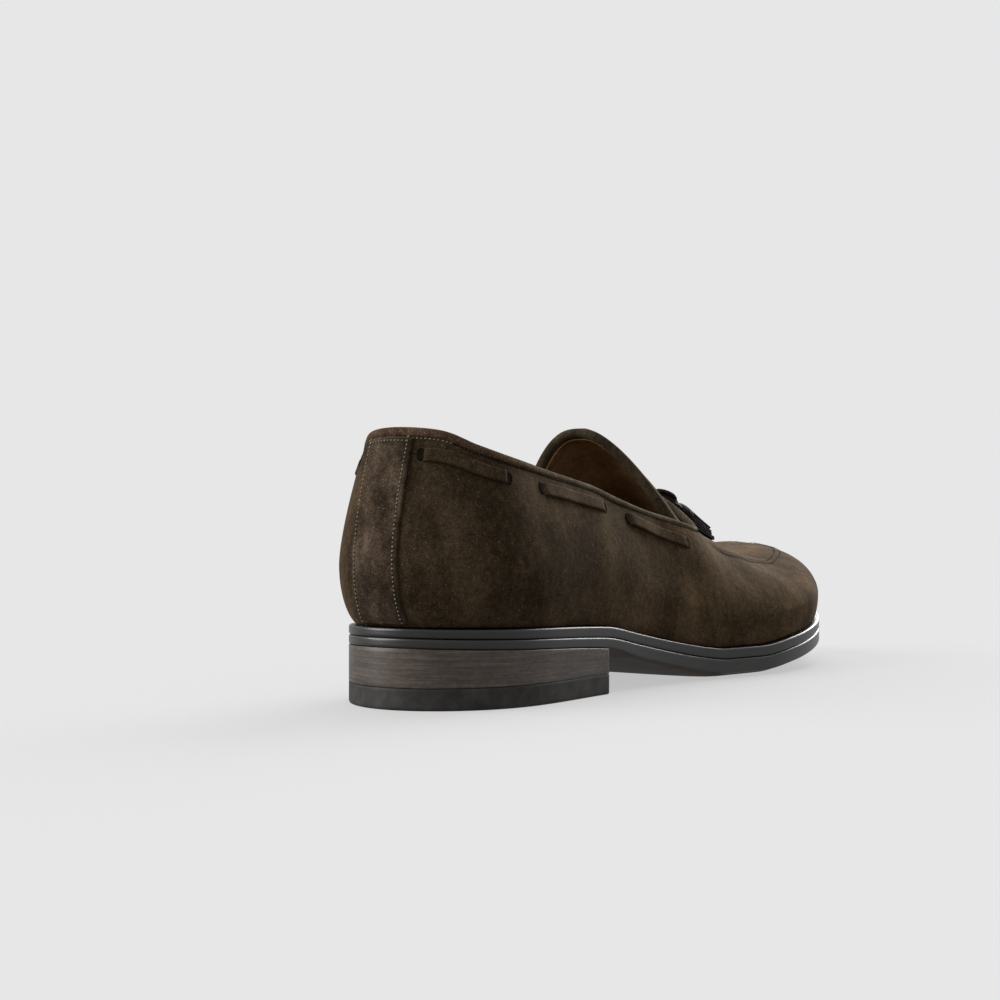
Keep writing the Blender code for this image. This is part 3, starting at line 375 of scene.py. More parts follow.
# Soft troughs where the suede gives: each runs between two places on the upper
TROUGHS = (
    # side, along, up, along, up, width, depth
    ("outer", 0.655, 0.20, 0.668, 0.62, 7.0 * MM, 0.45 * MM),
    ("outer", 0.700, 0.16, 0.722, 0.50, 6.0 * MM, 0.35 * MM),
    ("outer", 0.470, 0.30, 0.560, 0.16, 9.0 * MM, 0.50 * MM),
    ("outer", 0.300, 0.62, 0.400, 0.28, 10.0 * MM, 0.45 * MM),
    ("outer", 0.110, 0.50, 0.150, 0.24, 9.0 * MM, 0.30 * MM),
    ("inner", 0.660, 0.22, 0.676, 0.64, 7.0 * MM, 0.45 * MM),
    ("inner", 0.440, 0.26, 0.540, 0.18, 9.0 * MM, 0.40 * MM),
    ("inner", 0.250, 0.60, 0.340, 0.30, 10.0 * MM, 0.40 * MM),
)
# Slow waves of the whole skin: wavelength and the way that each runs
WAVES = ((46 * MM, (0.3, 0.9, 0.5)), (61 * MM, (0.9, -0.4, 0.6)), (37 * MM, (-0.2, 0.6, 1.0)))
WAVE_DEPTH = 0.09 * MM


def linear(colour):
    """A shader's linear colour from sRGB hex digits."""
    parts = [int(colour[i:i + 2], 16) / 255 for i in (0, 2, 4)]
    return (*(c / 12.92 if c <= 0.04045 else ((c + 0.055) / 1.055) ** 2.4 for c in parts), 1.0)


def add(tree, kind, settings=(), links=()):
    """Adds a node with its settings, which are its own or its inputs', and the links that come into it."""
    node = tree.nodes.new(kind)
    for name, value in dict(settings).items():
        if isinstance(name, str) and hasattr(node, name):
            setattr(node, name, value)
        else:
            node.inputs[name].default_value = value
    for name, source in dict(links).items():
        tree.links.new(source, node.inputs[name])
    return node


def new_material(name, settings):
    """A Principled material with constants on the shader's own sockets, its tree and its shader."""
    material = bpy.data.materials.new(name)
    material.use_nodes = True
    tree = material.node_tree
    shader = tree.nodes["Principled BSDF"]
    for socket, value in settings.items():
        shader.inputs[socket].default_value = value
    return material, tree, shader


def ramp(tree, source, stops):
    """Colours along a value, from pairs of place and hex colour."""
    node = add(tree, "ShaderNodeValToRGB", {}, {"Fac": source})
    elements = node.color_ramp.elements
    while len(elements) < len(stops):
        elements.new(0.5)
    for element, (place, colour) in zip(elements, stops):
        element.position = place
        element.color = linear(colour)
    return node.outputs["Color"]


def noise(tree, place, size, detail=2.0, roughness=0.5, stretch=(1, 1, 1)):
    """Noise whose patches measure about the size in metres, drawn out where the stretch is under 1."""
    mapped = add(tree, "ShaderNodeMapping", {"Scale": stretch}, {"Vector": place})
    settings = {"Scale": 1 / size, "Detail": detail, "Roughness": roughness}
    return add(tree, "ShaderNodeTexNoise", settings, {"Vector": mapped.outputs["Vector"]}).outputs["Fac"]


def blend(tree, first, second, share):
    """A value between two others."""
    node = add(tree, "ShaderNodeMix", {"data_type": "FLOAT"})
    for socket, value in ((0, share), (2, first), (3, second)):
        if isinstance(value, (int, float)):
            node.inputs[socket].default_value = value
        else:
            tree.links.new(value, node.inputs[socket])
    return node.outputs[0]


# Brushed suede: matt, with a faint pale sheen, strokes of nap about as wide as a finger and short fibres.
# The real fibres are about 0.1 mm wide and are drawn at 0.5 mm, so that they still show at this distance.
NAP_STEPS = (0.34, 0.45, 0.53, 0.64)
TUFT = 2.2 * MM
FIBRE = 0.5 * MM
FLECK = 0.6 * MM
FRONT_FADE = {"From Min": -30 * MM, "From Max": 60 * MM}
# The reach over which the brown suede turns lighter towards the toe: painted light.
LIT_TOE_FADE = {"From Min": 0.0, "From Max": 110 * MM}


def suede_finish(name, shades, strokes=15 * MM, glint="8a7a66", flecks=0.67, front_shades=None,
                 fade_over=FRONT_FADE):
    """Napped suede in four shades, which may turn to four others towards the toe."""
    material, tree, shader = new_material(name, {
        "Roughness": 0.95, "Specular IOR Level": 0.07, "Sheen Weight": 0.07, "Sheen Roughness": 0.4,
        "Sheen Tint": linear("a8967a"),
    })
    place = add(tree, "ShaderNodeTexCoord").outputs["Object"]
    nap = noise(tree, place, strokes, 3.0, 0.55, (1.0, 0.75, 0.55))
    tufts = noise(tree, place, TUFT, 4.0, 0.7)
    fibres = noise(tree, place, FIBRE, 2.0, 0.6)
    mixed = blend(tree, blend(tree, nap, tufts, 0.42), fibres, 0.3)
    colour = ramp(tree, mixed, list(zip(NAP_STEPS, shades)))
    if front_shades:
        far = add(tree, "ShaderNodeSeparateXYZ", {}, {"Vector": place}).outputs["Y"]
        fade = add(tree, "ShaderNodeMapRange", fade_over, {"Value": far}).outputs["Result"]
        faded = add(tree, "ShaderNodeMix", {"data_type": "RGBA"}, {"Factor": fade})
        tree.links.new(colour, faded.inputs[6])
        tree.links.new(ramp(tree, mixed, list(zip(NAP_STEPS, front_shades))), faded.inputs[7])
        colour = faded.outputs[2]
    # Pale flecks: partly pale fibres, partly painted glints of light on the nap.
    specks = noise(tree, place, FLECK, 1.0, 0.5)
    lit = add(tree, "ShaderNodeMapRange",
              {"From Min": flecks, "From Max": flecks + 0.12, "To Max": 0.6}, {"Value": specks})
    mix = add(tree, "ShaderNodeMix", {"data_type": "RGBA"}, {"Factor": lit.outputs["Result"]})
    tree.links.new(colour, mix.inputs[6])
    mix.inputs[7].default_value = linear(glint)
    tree.links.new(mix.outputs[2], shader.inputs["Base Color"])
    height = blend(tree, tufts, fibres, 0.6)
    bump = add(tree, "ShaderNodeBump", {"Strength": 0.55, "Distance": 0.35 * MM}, {"Height": height})
    tree.links.new(bump.outputs["Normal"], shader.inputs["Normal"])
    return material


# Lighter and warmer shades towards the toe and vamp: painted light where they face the lamps.
brown_suede = suede_finish(
    "brushed_brown_suede", ("1e170f", "31271a", "443728", "5d4c39"),
    front_shades=("231a11", "3a2d1e", "4f3f2c", "6c5740"), fade_over=LIT_TOE_FADE)


def grid_faces(rows, columns, close_rows=False, close_columns=False, flip=False, first=0):
    """Quads over a grid of points, which may run on from its last row or column to the first."""
    faces = []
    for r in range(rows if close_rows else rows - 1):
        for c in range(columns if close_columns else columns - 1):
            a, b = r * columns + c, r * columns + (c + 1) % columns
            up = (r + 1) % rows * columns
            face = (a, b, up + (c + 1) % columns, up + c)
            faces.append(tuple(first + i for i in (face[::-1] if flip else face)))
    return faces


def add_piece(name, points, faces, materials, body="root", closed=True):
    """A smooth mesh piece of the shoe, moved so that the origin is under the middle of the heel."""
    mesh = bpy.data.meshes.new(name)
    places = np.asarray(points, dtype=float).reshape(-1, 3) - (0, HEEL_LENGTH / 2, 0)
    mesh.from_pydata(places.tolist(), [], faces)
    for material in materials:
        mesh.materials.append(material)
    work = bmesh.new()
    work.from_mesh(mesh)
    bmesh.ops.remove_doubles(work, verts=work.verts, dist=0.01 * MM)
    if closed:
        bmesh.ops.recalc_face_normals(work, faces=work.faces)
    work.to_mesh(mesh)
    work.free()
    mesh.shade_smooth()
    piece = bpy.data.objects.new(name, mesh)
    bpy.context.scene.collection.objects.link(piece)
    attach(piece, body)
    return piece


def upper_paths(density=1.0, rows=ROWS):
    """Places (p, v) of the upper's grid on both sides, from the feather line to the mouth or the ridge."""
    p_corner, p_foot, p_throat = way_of(CORNER), way_of(THROAT_FOOT), way_of(THROAT_CENTRE)
    stops = (
        (0, p_corner, STATIONS_TO_CORNER),
        (p_corner, p_foot, STATIONS_OF_THROAT),
        (p_foot, 1, STATIONS_TO_TOE),
    )
    foot = [np.linspace(a, b, int(n * density), endpoint=False) for a, b, n in stops]
    foot = np.concatenate(foot + [[1.0]])
    paths = {}
    for side in ("outer", "inner"):
        share = np.where(foot < p_corner, foot / p_corner, 1 + (foot - p_corner) / (p_foot - p_corner))
        p_mouth, v_mouth = mouth(side, np.minimum(share, 2))
        on_ridge = foot >= p_foot - 1e-9
        head = np.where(on_ridge, p_throat + (1 - p_throat) * (foot - p_foot) / (1 - p_foot), p_mouth)
        v_head = np.where(on_ridge, 1.0, v_mouth)
        share = np.linspace(0, 1, rows + 1)[:, None]
        paths[side] = (foot + (head - foot) * share**1.2, v_head * share)
    return paths


def relief(points):
    """How far the suede lies in from the last's smooth form, in troughs and slow waves."""
    depth = np.zeros(points.shape[:-1])
    for side, along_a, up_a, along_b, up_b, width, deep in TROUGHS:
        a, b = wall(side, way_of(along_a), up_a), wall(side, way_of(along_b), up_b)
        t = np.clip(((points - a) @ (b - a)) / np.dot(b - a, b - a), 0, 1)[..., None]
        away = np.linalg.norm(points - a - (b - a) * t, axis=-1)
        depth -= deep * np.exp(-(away / width) ** 2)
    for wave, way in WAVES:
        depth += WAVE_DEPTH * np.sin(2 * math.pi / wave * (points @ (np.array(way) / np.linalg.norm(way))))
    return depth


def upper_sheet(name, paths, offset, thickness, material, rough):
    """One layer of the upper as an open surface with a real thickness inwards."""
    halves = []
    for side in ("outer", "inner"):
        p, v = paths[side]
        points = wall(side, p, v)
        out = offset + (relief(points) if rough else 0)
        points = points + wall_normal(side, p, v) * np.broadcast_to(out, p.shape)[..., None]
        halves.append(points)
    grid = np.concatenate([halves[0], halves[1][:, -2:0:-1]], axis=1)
    rows, columns = grid.shape[:2]
    faces = grid_faces(rows, columns, close_columns=True)
    sheet = add_piece(name, grid, faces, [material], closed=False)
    wall_thick = sheet.modifiers.new("wall", "SOLIDIFY")
    wall_thick.thickness = thickness
    wall_thick.offset = -1
    return sheet


upper_suede = upper_sheet("upper_suede", upper_paths(), 0.0, SUEDE, brown_suede, True)
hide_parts("upper")

skin_mesh = upper_suede.data
skin_tree = BVHTree.FromPolygons([v.co for v in skin_mesh.vertices], [p.vertices for p in skin_mesh.polygons])


# The lining
# Tan calf leather, 0.9 mm thick, glued inside the suede. It shows all round the inside of the mouth.
LINING_DROP = SUEDE + 0.1 * MM


def leather_finish(name, shades, roughness, gloss=0.45, grain=0.9 * MM, deep=0.12 * MM):
    """Smooth leather: a soft gloss over fine pebbled grain, with cloudy dye."""
    material, tree, shader = new_material(name, {
        "Roughness": roughness, "Specular IOR Level": gloss,
    })
    place = add(tree, "ShaderNodeTexCoord").outputs["Object"]
    clouds = noise(tree, place, 14 * MM, 3.0, 0.6)
    fine = noise(tree, place, 1.6 * MM, 3.0, 0.6)
    colour = ramp(tree, blend(tree, clouds, fine, 0.35), list(zip((0.36, 0.5, 0.64), shades)))
    tree.links.new(colour, shader.inputs["Base Color"])
    cells = add(tree, "ShaderNodeTexVoronoi", {"Scale": 1 / grain}, {"Vector": place})
    pebbles = cells.outputs["Distance"]
    bump = add(tree, "ShaderNodeBump", {"Strength": 0.35, "Distance": deep}, {"Height": pebbles})
    tree.links.new(bump.outputs["Normal"], shader.inputs["Normal"])
    return material


tan_lining = leather_finish("tan_calf_lining", ("5a4029", "745639", "8d6d49"), 0.5)
upper_sheet(
    "upper_lining", upper_paths(0.7, 40), -LINING_DROP, LINING, tan_lining, False)


# The sock
# A tan leather insole sock over the insole board, glued flat. Its edge meets the lining all round.
INSOLE = 2.5 * MM
OVERLAY_GAP = 0.45 * MM
SOCK_INSET = FEATHER_INSET + 2.1 * MM
SOCK_SPREAD = 0.4 * MM
EDGE_STATIONS = 260
ACROSS = 24


def cross_rows(inset, height, stations=EDGE_STATIONS, across=ACROSS):
    """Rows of points straight across the shoe, between the two sides of an inset outline."""
    p = np.linspace(0, 1, stations)
    ends = []
    for side in ("outer", "inner"):
        place, out = edge(side, p)
        ends.append(place - out * inset)
    share = np.linspace(0, 1, across)[None, :, None]
    plan = ends[0][:, None] * (1 - share) + ends[1][:, None] * share
    return np.concatenate([plan, height(plan[..., 1])[..., None]], axis=-1)


def closed_sheet(name, near, far, materials):
    """A closed body between two grids of the same size."""
    rows, columns = near.shape[:2]
    size = rows * columns
    faces = grid_faces(rows, columns) + grid_faces(rows, columns, flip=True, first=size)
    rim = [(0, c) for c in range(columns)] + [(r, columns - 1) for r in range(1, rows)]
    rim += [(rows - 1, c) for c in range(columns - 2, -1, -1)] + [(r, 0) for r in range(rows - 2, 0, -1)]
    for k, (r, c) in enumerate(rim):
        r2, c2 = rim[(k + 1) % len(rim)]
        a, b = r * columns + c, r2 * columns + c2
        faces.append((b, a, size + a, size + b))
    points = np.concatenate([near.reshape(-1, 3), far.reshape(-1, 3)])
    return add_piece(name, points, faces, materials)


sock = closed_sheet(
    "insole_sock",
    cross_rows(SOCK_INSET, lambda y: sole_top(y) + OVERLAY_GAP),
    cross_rows(SOCK_INSET - SOCK_SPREAD, lambda y: sole_top(y) + OVERLAY_GAP + INSOLE),
    [tan_lining])
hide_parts("insole")


# The collar binding
# A strip of the same suede, skived thin, folded over the whole edge of the mouth and stitched down.
# It turns paler and greyer towards the throat.
BINDING_LEG = 2.7 * MM
BINDING_LEGS = ((0.0, 0.06, 0.30, 0.56), (BINDING_LEG, 2.1 * MM, 1.3 * MM, 0.9 * MM))
BINDING_OUT = 0.55 * MM
BINDING_SKIVED = 0.7 * MM
BINDING_LIP = 0.15 * MM
ROLL = 0.95 * MM
WALL = 2.0 * MM
collar_suede = suede_finish(
    "collar_suede_paler_at_throat", ("2a2018", "423225", "554233", "6c5947"), 9 * MM, flecks=0.6,
    front_shades=("312b21", "4a4335", "5f5747", "7a7262"))


def mouth_frames(top=150, throat=60):
    """Points round the mouth's edge, with the ways along it, down the wall and out of it."""
    share = np.concatenate([np.linspace(0, 1, top, endpoint=False), np.linspace(1, 2, throat)])
    heads, outs = [], []
    for side in ("outer", "inner"):
        p, v = mouth(side, share)
        order = slice(None) if side == "outer" else slice(-2, 0, -1)
        heads.append(wall(side, p, v)[order])
        outs.append(wall_normal(side, p, v)[order])
    heads, outs = np.concatenate(heads), np.concatenate(outs)
    along = np.roll(heads, -2, axis=0) - np.roll(heads, 2, axis=0)
    along /= np.linalg.norm(along, axis=1)[:, None]
    for _ in range(3):
        outs = outs + np.roll(outs, 1, axis=0) + np.roll(outs, -1, axis=0)
        outs -= along * np.sum(outs * along, axis=1)[:, None]
        outs /= np.linalg.norm(outs, axis=1)[:, None]
    return heads, along, np.cross(along, outs), outs


def strip_over_edge(leg, out, thick, roll, steps=9):
    """Cross-section of a strip folded over an edge, as pairs of down and out."""
    turns = np.linspace(0, math.pi, steps)
    middle, half = -thick / 2, thick / 2 + out
    lip, skived = leg - BINDING_LIP, leg - BINDING_SKIVED
    outline = [(leg, 0.1 * MM), (lip, out * 0.6), (skived, out)]
    outline += [(-roll * math.sin(t), middle + half * math.cos(t)) for t in turns]
    outline += [(skived, -thick - out), (lip, -thick - out * 0.6), (leg, -thick)]
    return outline


def tube(name, rings, materials, closed=False):
    """A closed body through cross-sections, joined end to end or with its ends filled."""
    rings = np.asarray(rings)
    count, size = rings.shape[:2]
    faces = grid_faces(count, size, close_rows=closed, close_columns=True)
    points = rings.reshape(-1, 3)
    if not closed:
        points = np.concatenate([points, rings[:1].mean(axis=1), rings[-1:].mean(axis=1)])
        last = (count - 1) * size
        faces += [((i + 1) % size, i, count * size) for i in range(size)]
        faces += [(last + i, last + (i + 1) % size, count * size + 1) for i in range(size)]
    return add_piece(name, points, faces, materials)


heads, _, downs, outs = mouth_frames()
legs = np.interp(heads[:, 1] / LENGTH, *BINDING_LEGS)
section = np.array([strip_over_edge(leg, BINDING_OUT, WALL, ROLL) for leg in legs])
rings = heads[:, None] + downs[:, None] * section[..., :1] + outs[:, None] * section[..., 1:]
collar = tube("collar_roll", rings, [collar_suede], closed=True)
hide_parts("collar_binding")


# The back strip
# A strip of suede that covers the back seam, lasted in under the sole and stitched along its edges.
# It is narrowest halfway up, leans a little to the inner side and is paler than the quarters.
STRIP_WIDTH = 20 * MM
STRIP_SHIFT = 1.5 * MM
STRIP_LEAN = 1.0 * MM
STRIP_OUT = 1.05 * MM
STRIP_FOOT = 0.03
STRIP_ROWS = 90
strip_suede = suede_finish("paler_heel_strip_suede", ("1f1811", "342a20", "4a3d31", "6a5b4c"), 8 * MM, "9a8b78")


def strip_places(share, t):
    """Places (p, v) on the back strip: share up the heel and t from edge to edge."""
    back = np.zeros(1)
    top = v_at_height("outer", back, topline_height("outer", back) - BINDING_LEG)[0]
    flare = 0.84 + 0.16 * (2 * np.abs(share - 0.55)) ** 2 + 0.1 * share**2
    across = t * STRIP_WIDTH / 2 * flare - STRIP_SHIFT - STRIP_LEAN * share**2
    return across / LENGTHS["outer"], STRIP_FOOT + (top - STRIP_FOOT) * share


share = np.linspace(0, 1, STRIP_ROWS)[:, None]
flat = np.linspace(-0.95, 0.95, 25)
strip_section = [(-1.0, -0.1), (-1.0, 0.55), (-0.985, 0.85)] + [(t, 1.0) for t in flat]
strip_section += [(0.985, 0.85), (1.0, 0.55), (1.0, -0.1)] + [(t, -0.1) for t in flat[::-4]]
strip_section = np.array(strip_section)
p, v = strip_places(share, strip_section[None, :, 0])
back_strip = tube(
    "heel_strip", skin("outer", p, v, strip_section[None, :, 1] * STRIP_OUT), [strip_suede])
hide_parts("back_strip")


# The apron seam
# A low hand-sewn ridge round the top of the toe, where the vamp and the apron are pinched up and sewn.
# Its pleats are drawn wider than the real ones, so that they still show.
SEAM_WIDTH = 2.4 * MM
SEAM_HEIGHT = 0.4 * MM
SEAM_PLEAT = 3.4 * MM
SEAM_SECTION = (
    # share of the half width, share of the height
    (-1.25, -0.35),
    (-0.90, 0.10),
    (-0.55, 0.60),
    (-0.20, 0.97),
    (0.20, 0.97),
    (0.55, 0.60),
    (0.90, 0.10),
    (1.25, -0.35),
)
APRON = (
    # along, outer, inner
    (0.580, 0.335, 0.315),
    (0.640, 0.345, 0.330),
    (0.700, 0.350, 0.340),
    (0.760, 0.345, 0.335),
    (0.815, 0.310, 0.305),
    (0.860, 0.250, 0.245),
    (0.893, 0.165, 0.160),
    (0.910, 0.070, 0.070),
)
APRON_FRONT = 0.914
OVER = 0.3


def surface_at(x, y):
    """Where a plumb line over the vamp meets the suede, and the normal there, in the last's own places."""
    middle = Vector((0, HEEL_LENGTH / 2, 0))
    hit, normal, _, _ = skin_tree.ray_cast(Vector((x, y, OVER)) - middle, Vector((0, 0, -1)))
    return np.array(hit + middle), np.array(normal if normal.z > 0 else -normal)


def through_points(points, steps):
    """A smooth line through the points, with the same number of steps from each to the next."""
    line = []
    for i in range(len(points) - 1):
        before, after = points[max(i - 1, 0)], points[min(i + 2, len(points) - 1)]
        for t in np.arange(steps) / steps:
            line.append((points[i] * 2 + (points[i + 1] - before) * t
                         + (2 * before - 5 * points[i] + 4 * points[i + 1] - after) * t**2
                         + (3 * points[i] - before - 3 * points[i + 1] + after) * t**3) / 2)
    return np.array(line + [points[-1]])


def frames_along(points, normals):
    """Unit vectors along a line, across it and up from its surface."""
    along = np.gradient(points, axis=0)
    along /= np.linalg.norm(along, axis=1)[:, None]
    up = normals - along * np.sum(normals * along, axis=1)[:, None]
    up /= np.linalg.norm(up, axis=1)[:, None]
    return along, np.cross(along, up), up


def smoothed(values, rounds):
    """The rows of a table, each averaged with its neighbours a number of times."""
    for _ in range(rounds):
        inside = (values[:-2] + values[1:-1] * 2 + values[2:]) / 4
        values = np.concatenate([values[:1], inside, values[-1:]])
    return values


route = [(along, outer) for along, outer, _ in APRON] + [(APRON_FRONT, 0.0)]
route += [(along, -inner) for along, _, inner in APRON[::-1]]
plan = [np.array([crown_line_x(a * LENGTH) + share * BALL_WIDTH, a * LENGTH]) for a, share in route]
found = [surface_at(*point) for point in through_points(plan, 26)]
seam_line = smoothed(np.array([hit for hit, _ in found]), 6)
seam_ups = smoothed(np.array([normal for _, normal in found]), 12)
_, seam_across, seam_up = frames_along(seam_line, seam_ups)
seam_way = np.concatenate([[0], np.cumsum(np.linalg.norm(np.diff(seam_line, axis=0), axis=1))])
pleat = 0.82 + 0.18 * np.abs(np.cos(math.pi * seam_way / SEAM_PLEAT))
taper = np.clip(np.minimum(seam_way, seam_way[-1] - seam_way) / (6 * MM), 0, 1)
seam_rings = []
for share, rise in SEAM_SECTION:
    lift = rise * SEAM_HEIGHT * np.where(rise > 0, pleat * taper, 1.0)
    seam_rings.append(seam_line + seam_across * share * SEAM_WIDTH / 2 + seam_up * lift[:, None])
apron = tube("apron_ridge", np.stack(seam_rings, axis=1), [brown_suede])
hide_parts("apron_seam")


# The tongue
# A suede flap lined with tan calf, which stands up out of the throat. A thick rolled binding goes round
# its rim, with a thin tan bead under it on the inside: the lining's edge, coloured much paler than the
# lining as a painted highlight.
TONGUE_TOP = 0.453
TONGUE_SIDES = {"outer": 0.510, "inner": 0.413}
TONGUE_FRONT = 0.640
TONGUE_LOW = 0.50
FREE_FROM = 0.30
TONGUE_ROUNDING = 1.8
TONGUE_FLARE = {"outer": 1.2 * MM, "inner": 2.3 * MM}
TONGUE_WALL = 2.4 * MM
TONGUE_DEPTH = 3.5 * MM
TONGUE_SUEDE = 1.3 * MM
TONGUE_ROLL = 1.6 * MM
TONGUE_LEG = 2.1 * MM
RIM_OUT = 0.65 * MM
BEAD_RADIUS = 0.5 * MM
rolled_suede = suede_finish(
    "olive_brown_binding_suede", ("221d14", "312a1f", "40382a", "524938"), 7 * MM)


def tongue_layer(depth, columns=72, rows=56):
    """One face of the tongue, at a depth under its outer face, from the inner to the outer side."""
    r = np.linspace(0, 1, rows)[None, :]
    faces = []
    for side, c in (("inner", np.linspace(-1, 0, columns // 2, endpoint=False)),
                    ("outer", np.linspace(0, 1, columns // 2 + 1))):
        share = np.abs(c)[:, None]
        v = TONGUE_LOW + (1 - TONGUE_LOW) * (1 - share) + 0 * r
        top = TONGUE_TOP + (TONGUE_SIDES[side] - TONGUE_TOP) * share**TONGUE_ROUNDING
        blend_share = np.clip((0.1 - c[:, None]) / 0.4, 0, 1)
        blend_share = blend_share**2 * (3 - 2 * blend_share)
        flare = TONGUE_FLARE["outer"] + (TONGUE_FLARE["inner"] - TONGUE_FLARE["outer"]) * blend_share
        free = np.maximum(0, (r - FREE_FROM) / (1 - FREE_FROM)) * (1 - share)
        free = free / np.sqrt(free + 0.08)
        p = way_of(TONGUE_FRONT + (top - TONGUE_FRONT) * r)
        faces.append(skin(side, p, v, -(TONGUE_DEPTH - flare * free + depth)))
    return np.concatenate(faces)


near, middle, far = tongue_layer(0.0), tongue_layer(TONGUE_SUEDE), tongue_layer(TONGUE_WALL)
tongue_suede = closed_sheet("tongue_suede", near, middle, [brown_suede])
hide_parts("tongue")
closed_sheet("tongue_lining", middle, far, [tan_lining])

rim = (near[:, -1] + far[:, -1]) / 2
rim_down = (near[:, -4] + far[:, -4]) / 2 - rim
rim_down /= np.linalg.norm(rim_down, axis=1)[:, None]
rim_along = np.gradient(rim, axis=0)
rim_out = np.cross(rim_along, rim_down)
rim_out /= np.linalg.norm(rim_out, axis=1)[:, None]
rim_section = np.array(strip_over_edge(TONGUE_LEG, RIM_OUT, TONGUE_WALL, TONGUE_ROLL))
downward, outward = np.split(rim_section + (0, TONGUE_WALL / 2), 2, axis=1)
rings = rim[:, None] + rim_down[:, None] * downward + rim_out[:, None] * outward
tongue_roll = tube("tongue_roll", rings, [rolled_suede])
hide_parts("tongue_binding")

# The bead's tan is much paler than the lining's: painted highlight of the lamp on the right.
lit_tan_bead = leather_finish("tan_bead_painted_highlight", ("8a6136", "b3844c", "d2a468"), 0.42)
bead_line = rim + rim_down * (TONGUE_LEG + 0.15 * MM) - rim_out * (TONGUE_WALL / 2 + 0.25 * MM)
rings = [bead_line + rim_down * math.cos(a) * BEAD_RADIUS + rim_out * math.sin(a) * BEAD_RADIUS
         for a in np.linspace(0, 2 * math.pi, 10, endpoint=False)]
tube("tongue_bead", np.stack(rings, axis=1), [lit_tan_bead])


# The midsole and the outsole
# Two layers of leather, cemented under the upper. Their edge is trimmed, inked and burnished with wax
# to a dark gloss. The outsole's underside is plain brown leather.
EDGE_ROUND = 0.75 * MM
END_LENGTH = 12 * MM


def waxed_edge(name, shades):
    """Inked and waxed edge: near black, glossy under a thin wax coat, with fine trimming lines along it."""
    material, tree, shader = new_material(name, {
        "Roughness": 0.38, "Specular IOR Level": 0.5, "Coat Weight": 0.6, "Coat Roughness": 0.2,
    })
    place = add(tree, "ShaderNodeTexCoord").outputs["Object"]
    lines = noise(tree, place, 0.6 * MM, 2.0, 0.6, (0.05, 0.05, 1.0))
    clouds = noise(tree, place, 12 * MM, 3.0, 0.6)
    colour = ramp(tree, blend(tree, clouds, lines, 0.4), list(zip((0.36, 0.5, 0.64), shades)))
    tree.links.new(colour, shader.inputs["Base Color"])
    bump = add(tree, "ShaderNodeBump", {"Strength": 0.22, "Distance": 0.1 * MM}, {"Height": lines})
    tree.links.new(bump.outputs["Normal"], shader.inputs["Normal"])
    return material


edge_black = waxed_edge("waxed_black_edge", ("12110f", "191816", "22201e"))
edge_brown = waxed_edge("waxed_brown_edge", ("171512", "201d1a", "2b2722"))
sole_brown = leather_finish(
    "plain_sole_leather", ("2a2018", "382c22", "473a2e"), 0.62, 0.35, 1.2 * MM, 0.1 * MM)


def outline_ring(inset, height, p):
    """Points round the whole outline at an inset and at the height of their place, outer half first."""
    halves = []
    for side in ("outer", "inner"):
        place, out = edge(side, p)
        plan = place - out * inset
        halves.append(np.concatenate([plan, height(place[:, 1])[:, None]], axis=1))
    return np.concatenate([halves[0], halves[1][-2:0:-1]])


def sole_layer(name, rings, materials):
    """A closed body through rings of one count, with flat ends filled straight across the shoe."""
    count = len(rings[0])
    half = count // 2
    faces = grid_faces(len(rings), count, close_columns=True)
    for first in (0, (len(rings) - 1) * count):
        for i in range(half):
            corners = (first + i, first + i + 1, first + (count - i - 1) % count, first + (count - i) % count)
            faces.append(tuple(dict.fromkeys(corners)))
    return add_piece(name, np.concatenate(rings), faces, materials)


def rounded_edge(low, high, p, round_by=EDGE_ROUND):
    """Rings from the lower to the upper edge of a layer, both edges rounded."""
    turns = np.linspace(0, math.pi / 2, 5)
    steps = [(round_by * (1 - math.sin(t)), low, round_by * (1 - math.cos(t))) for t in turns]
    steps += [(0.0, None, share) for share in (0.25, 0.5, 0.75)]
    steps += [(round_by * (1 - math.sin(t)), high, -round_by * (1 - math.cos(t))) for t in turns[::-1]]
    rings = []
    for inset, base, extra in steps:
        if base is None:
            def height(y, s=extra):
                return low(y) + round_by + (high(y) - low(y) - 2 * round_by) * s
            rings.append(outline_ring(0.0, height, p))
        else:
            rings.append(outline_ring(inset, lambda y, b=base, e=extra: b(y) + e, p))
    return rings


edge_places = np.linspace(0, 1, EDGE_STATIONS)
midsole = sole_layer(
    "midsole_edge", rounded_edge(lambda y: outsole_top(y) + 0.05 * MM, sole_top, edge_places), [edge_black])
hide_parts("midsole")


def under_edge(y):
    return underside(y) + rounding_share(y / LENGTH) * EDGE_ROUNDING


def underside_ring(share, lifted):
    """A ring of the underside, drawn in towards the middle line and lifted towards the edge."""
    def height(y):
        return underside(y) + rounding_share(y / LENGTH) * EDGE_ROUNDING * lifted
    ring = outline_ring(0.0, height, edge_places)
    middle = np.stack([crown_line_x(ring[:, 1]), ring[:, 1]], axis=1)
    ends = np.minimum(ring[:, 1], LENGTH - ring[:, 1])
    pull = np.where(ends < END_LENGTH, (1 - share) * (1 - ends / END_LENGTH) * LENGTH * 0.2, 0)
    ring[:, :2] = middle + (ring[:, :2] - middle) * share
    ring[:, 1] += np.where(ring[:, 1] < LENGTH / 2, pull, -pull)
    return ring


rings = [underside_ring(share, lifted) for share, lifted in
         ((0.3, 0.0), (0.5, 0.02), (0.7, 0.08), (0.82, 0.2), (0.9, 0.4), (0.95, 0.62))]
rings += rounded_edge(under_edge, outsole_top, edge_places)
outsole = sole_layer("outsole_leather", rings, [edge_brown, sole_brown])
for face in outsole.data.polygons:
    low = face.center.z < underside(face.center.y + HEEL_LENGTH / 2) + 2 * MM
    face.material_index = int(low and face.normal.z < -0.8)
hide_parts("outsole")


# The heel
# Lifts of leather board, pasted and nailed in a stack, its side sanded, stained and waxed, over a matt
# rubber toplift. The breast is hollowed.
TOPLIFT = 7.2 * MM
TOPLIFT_ROUND = 0.715 * MM
BREAST_HOLLOW = 3 * MM
LIFT = 3.3 * MM
JOINT = 0.32 * MM


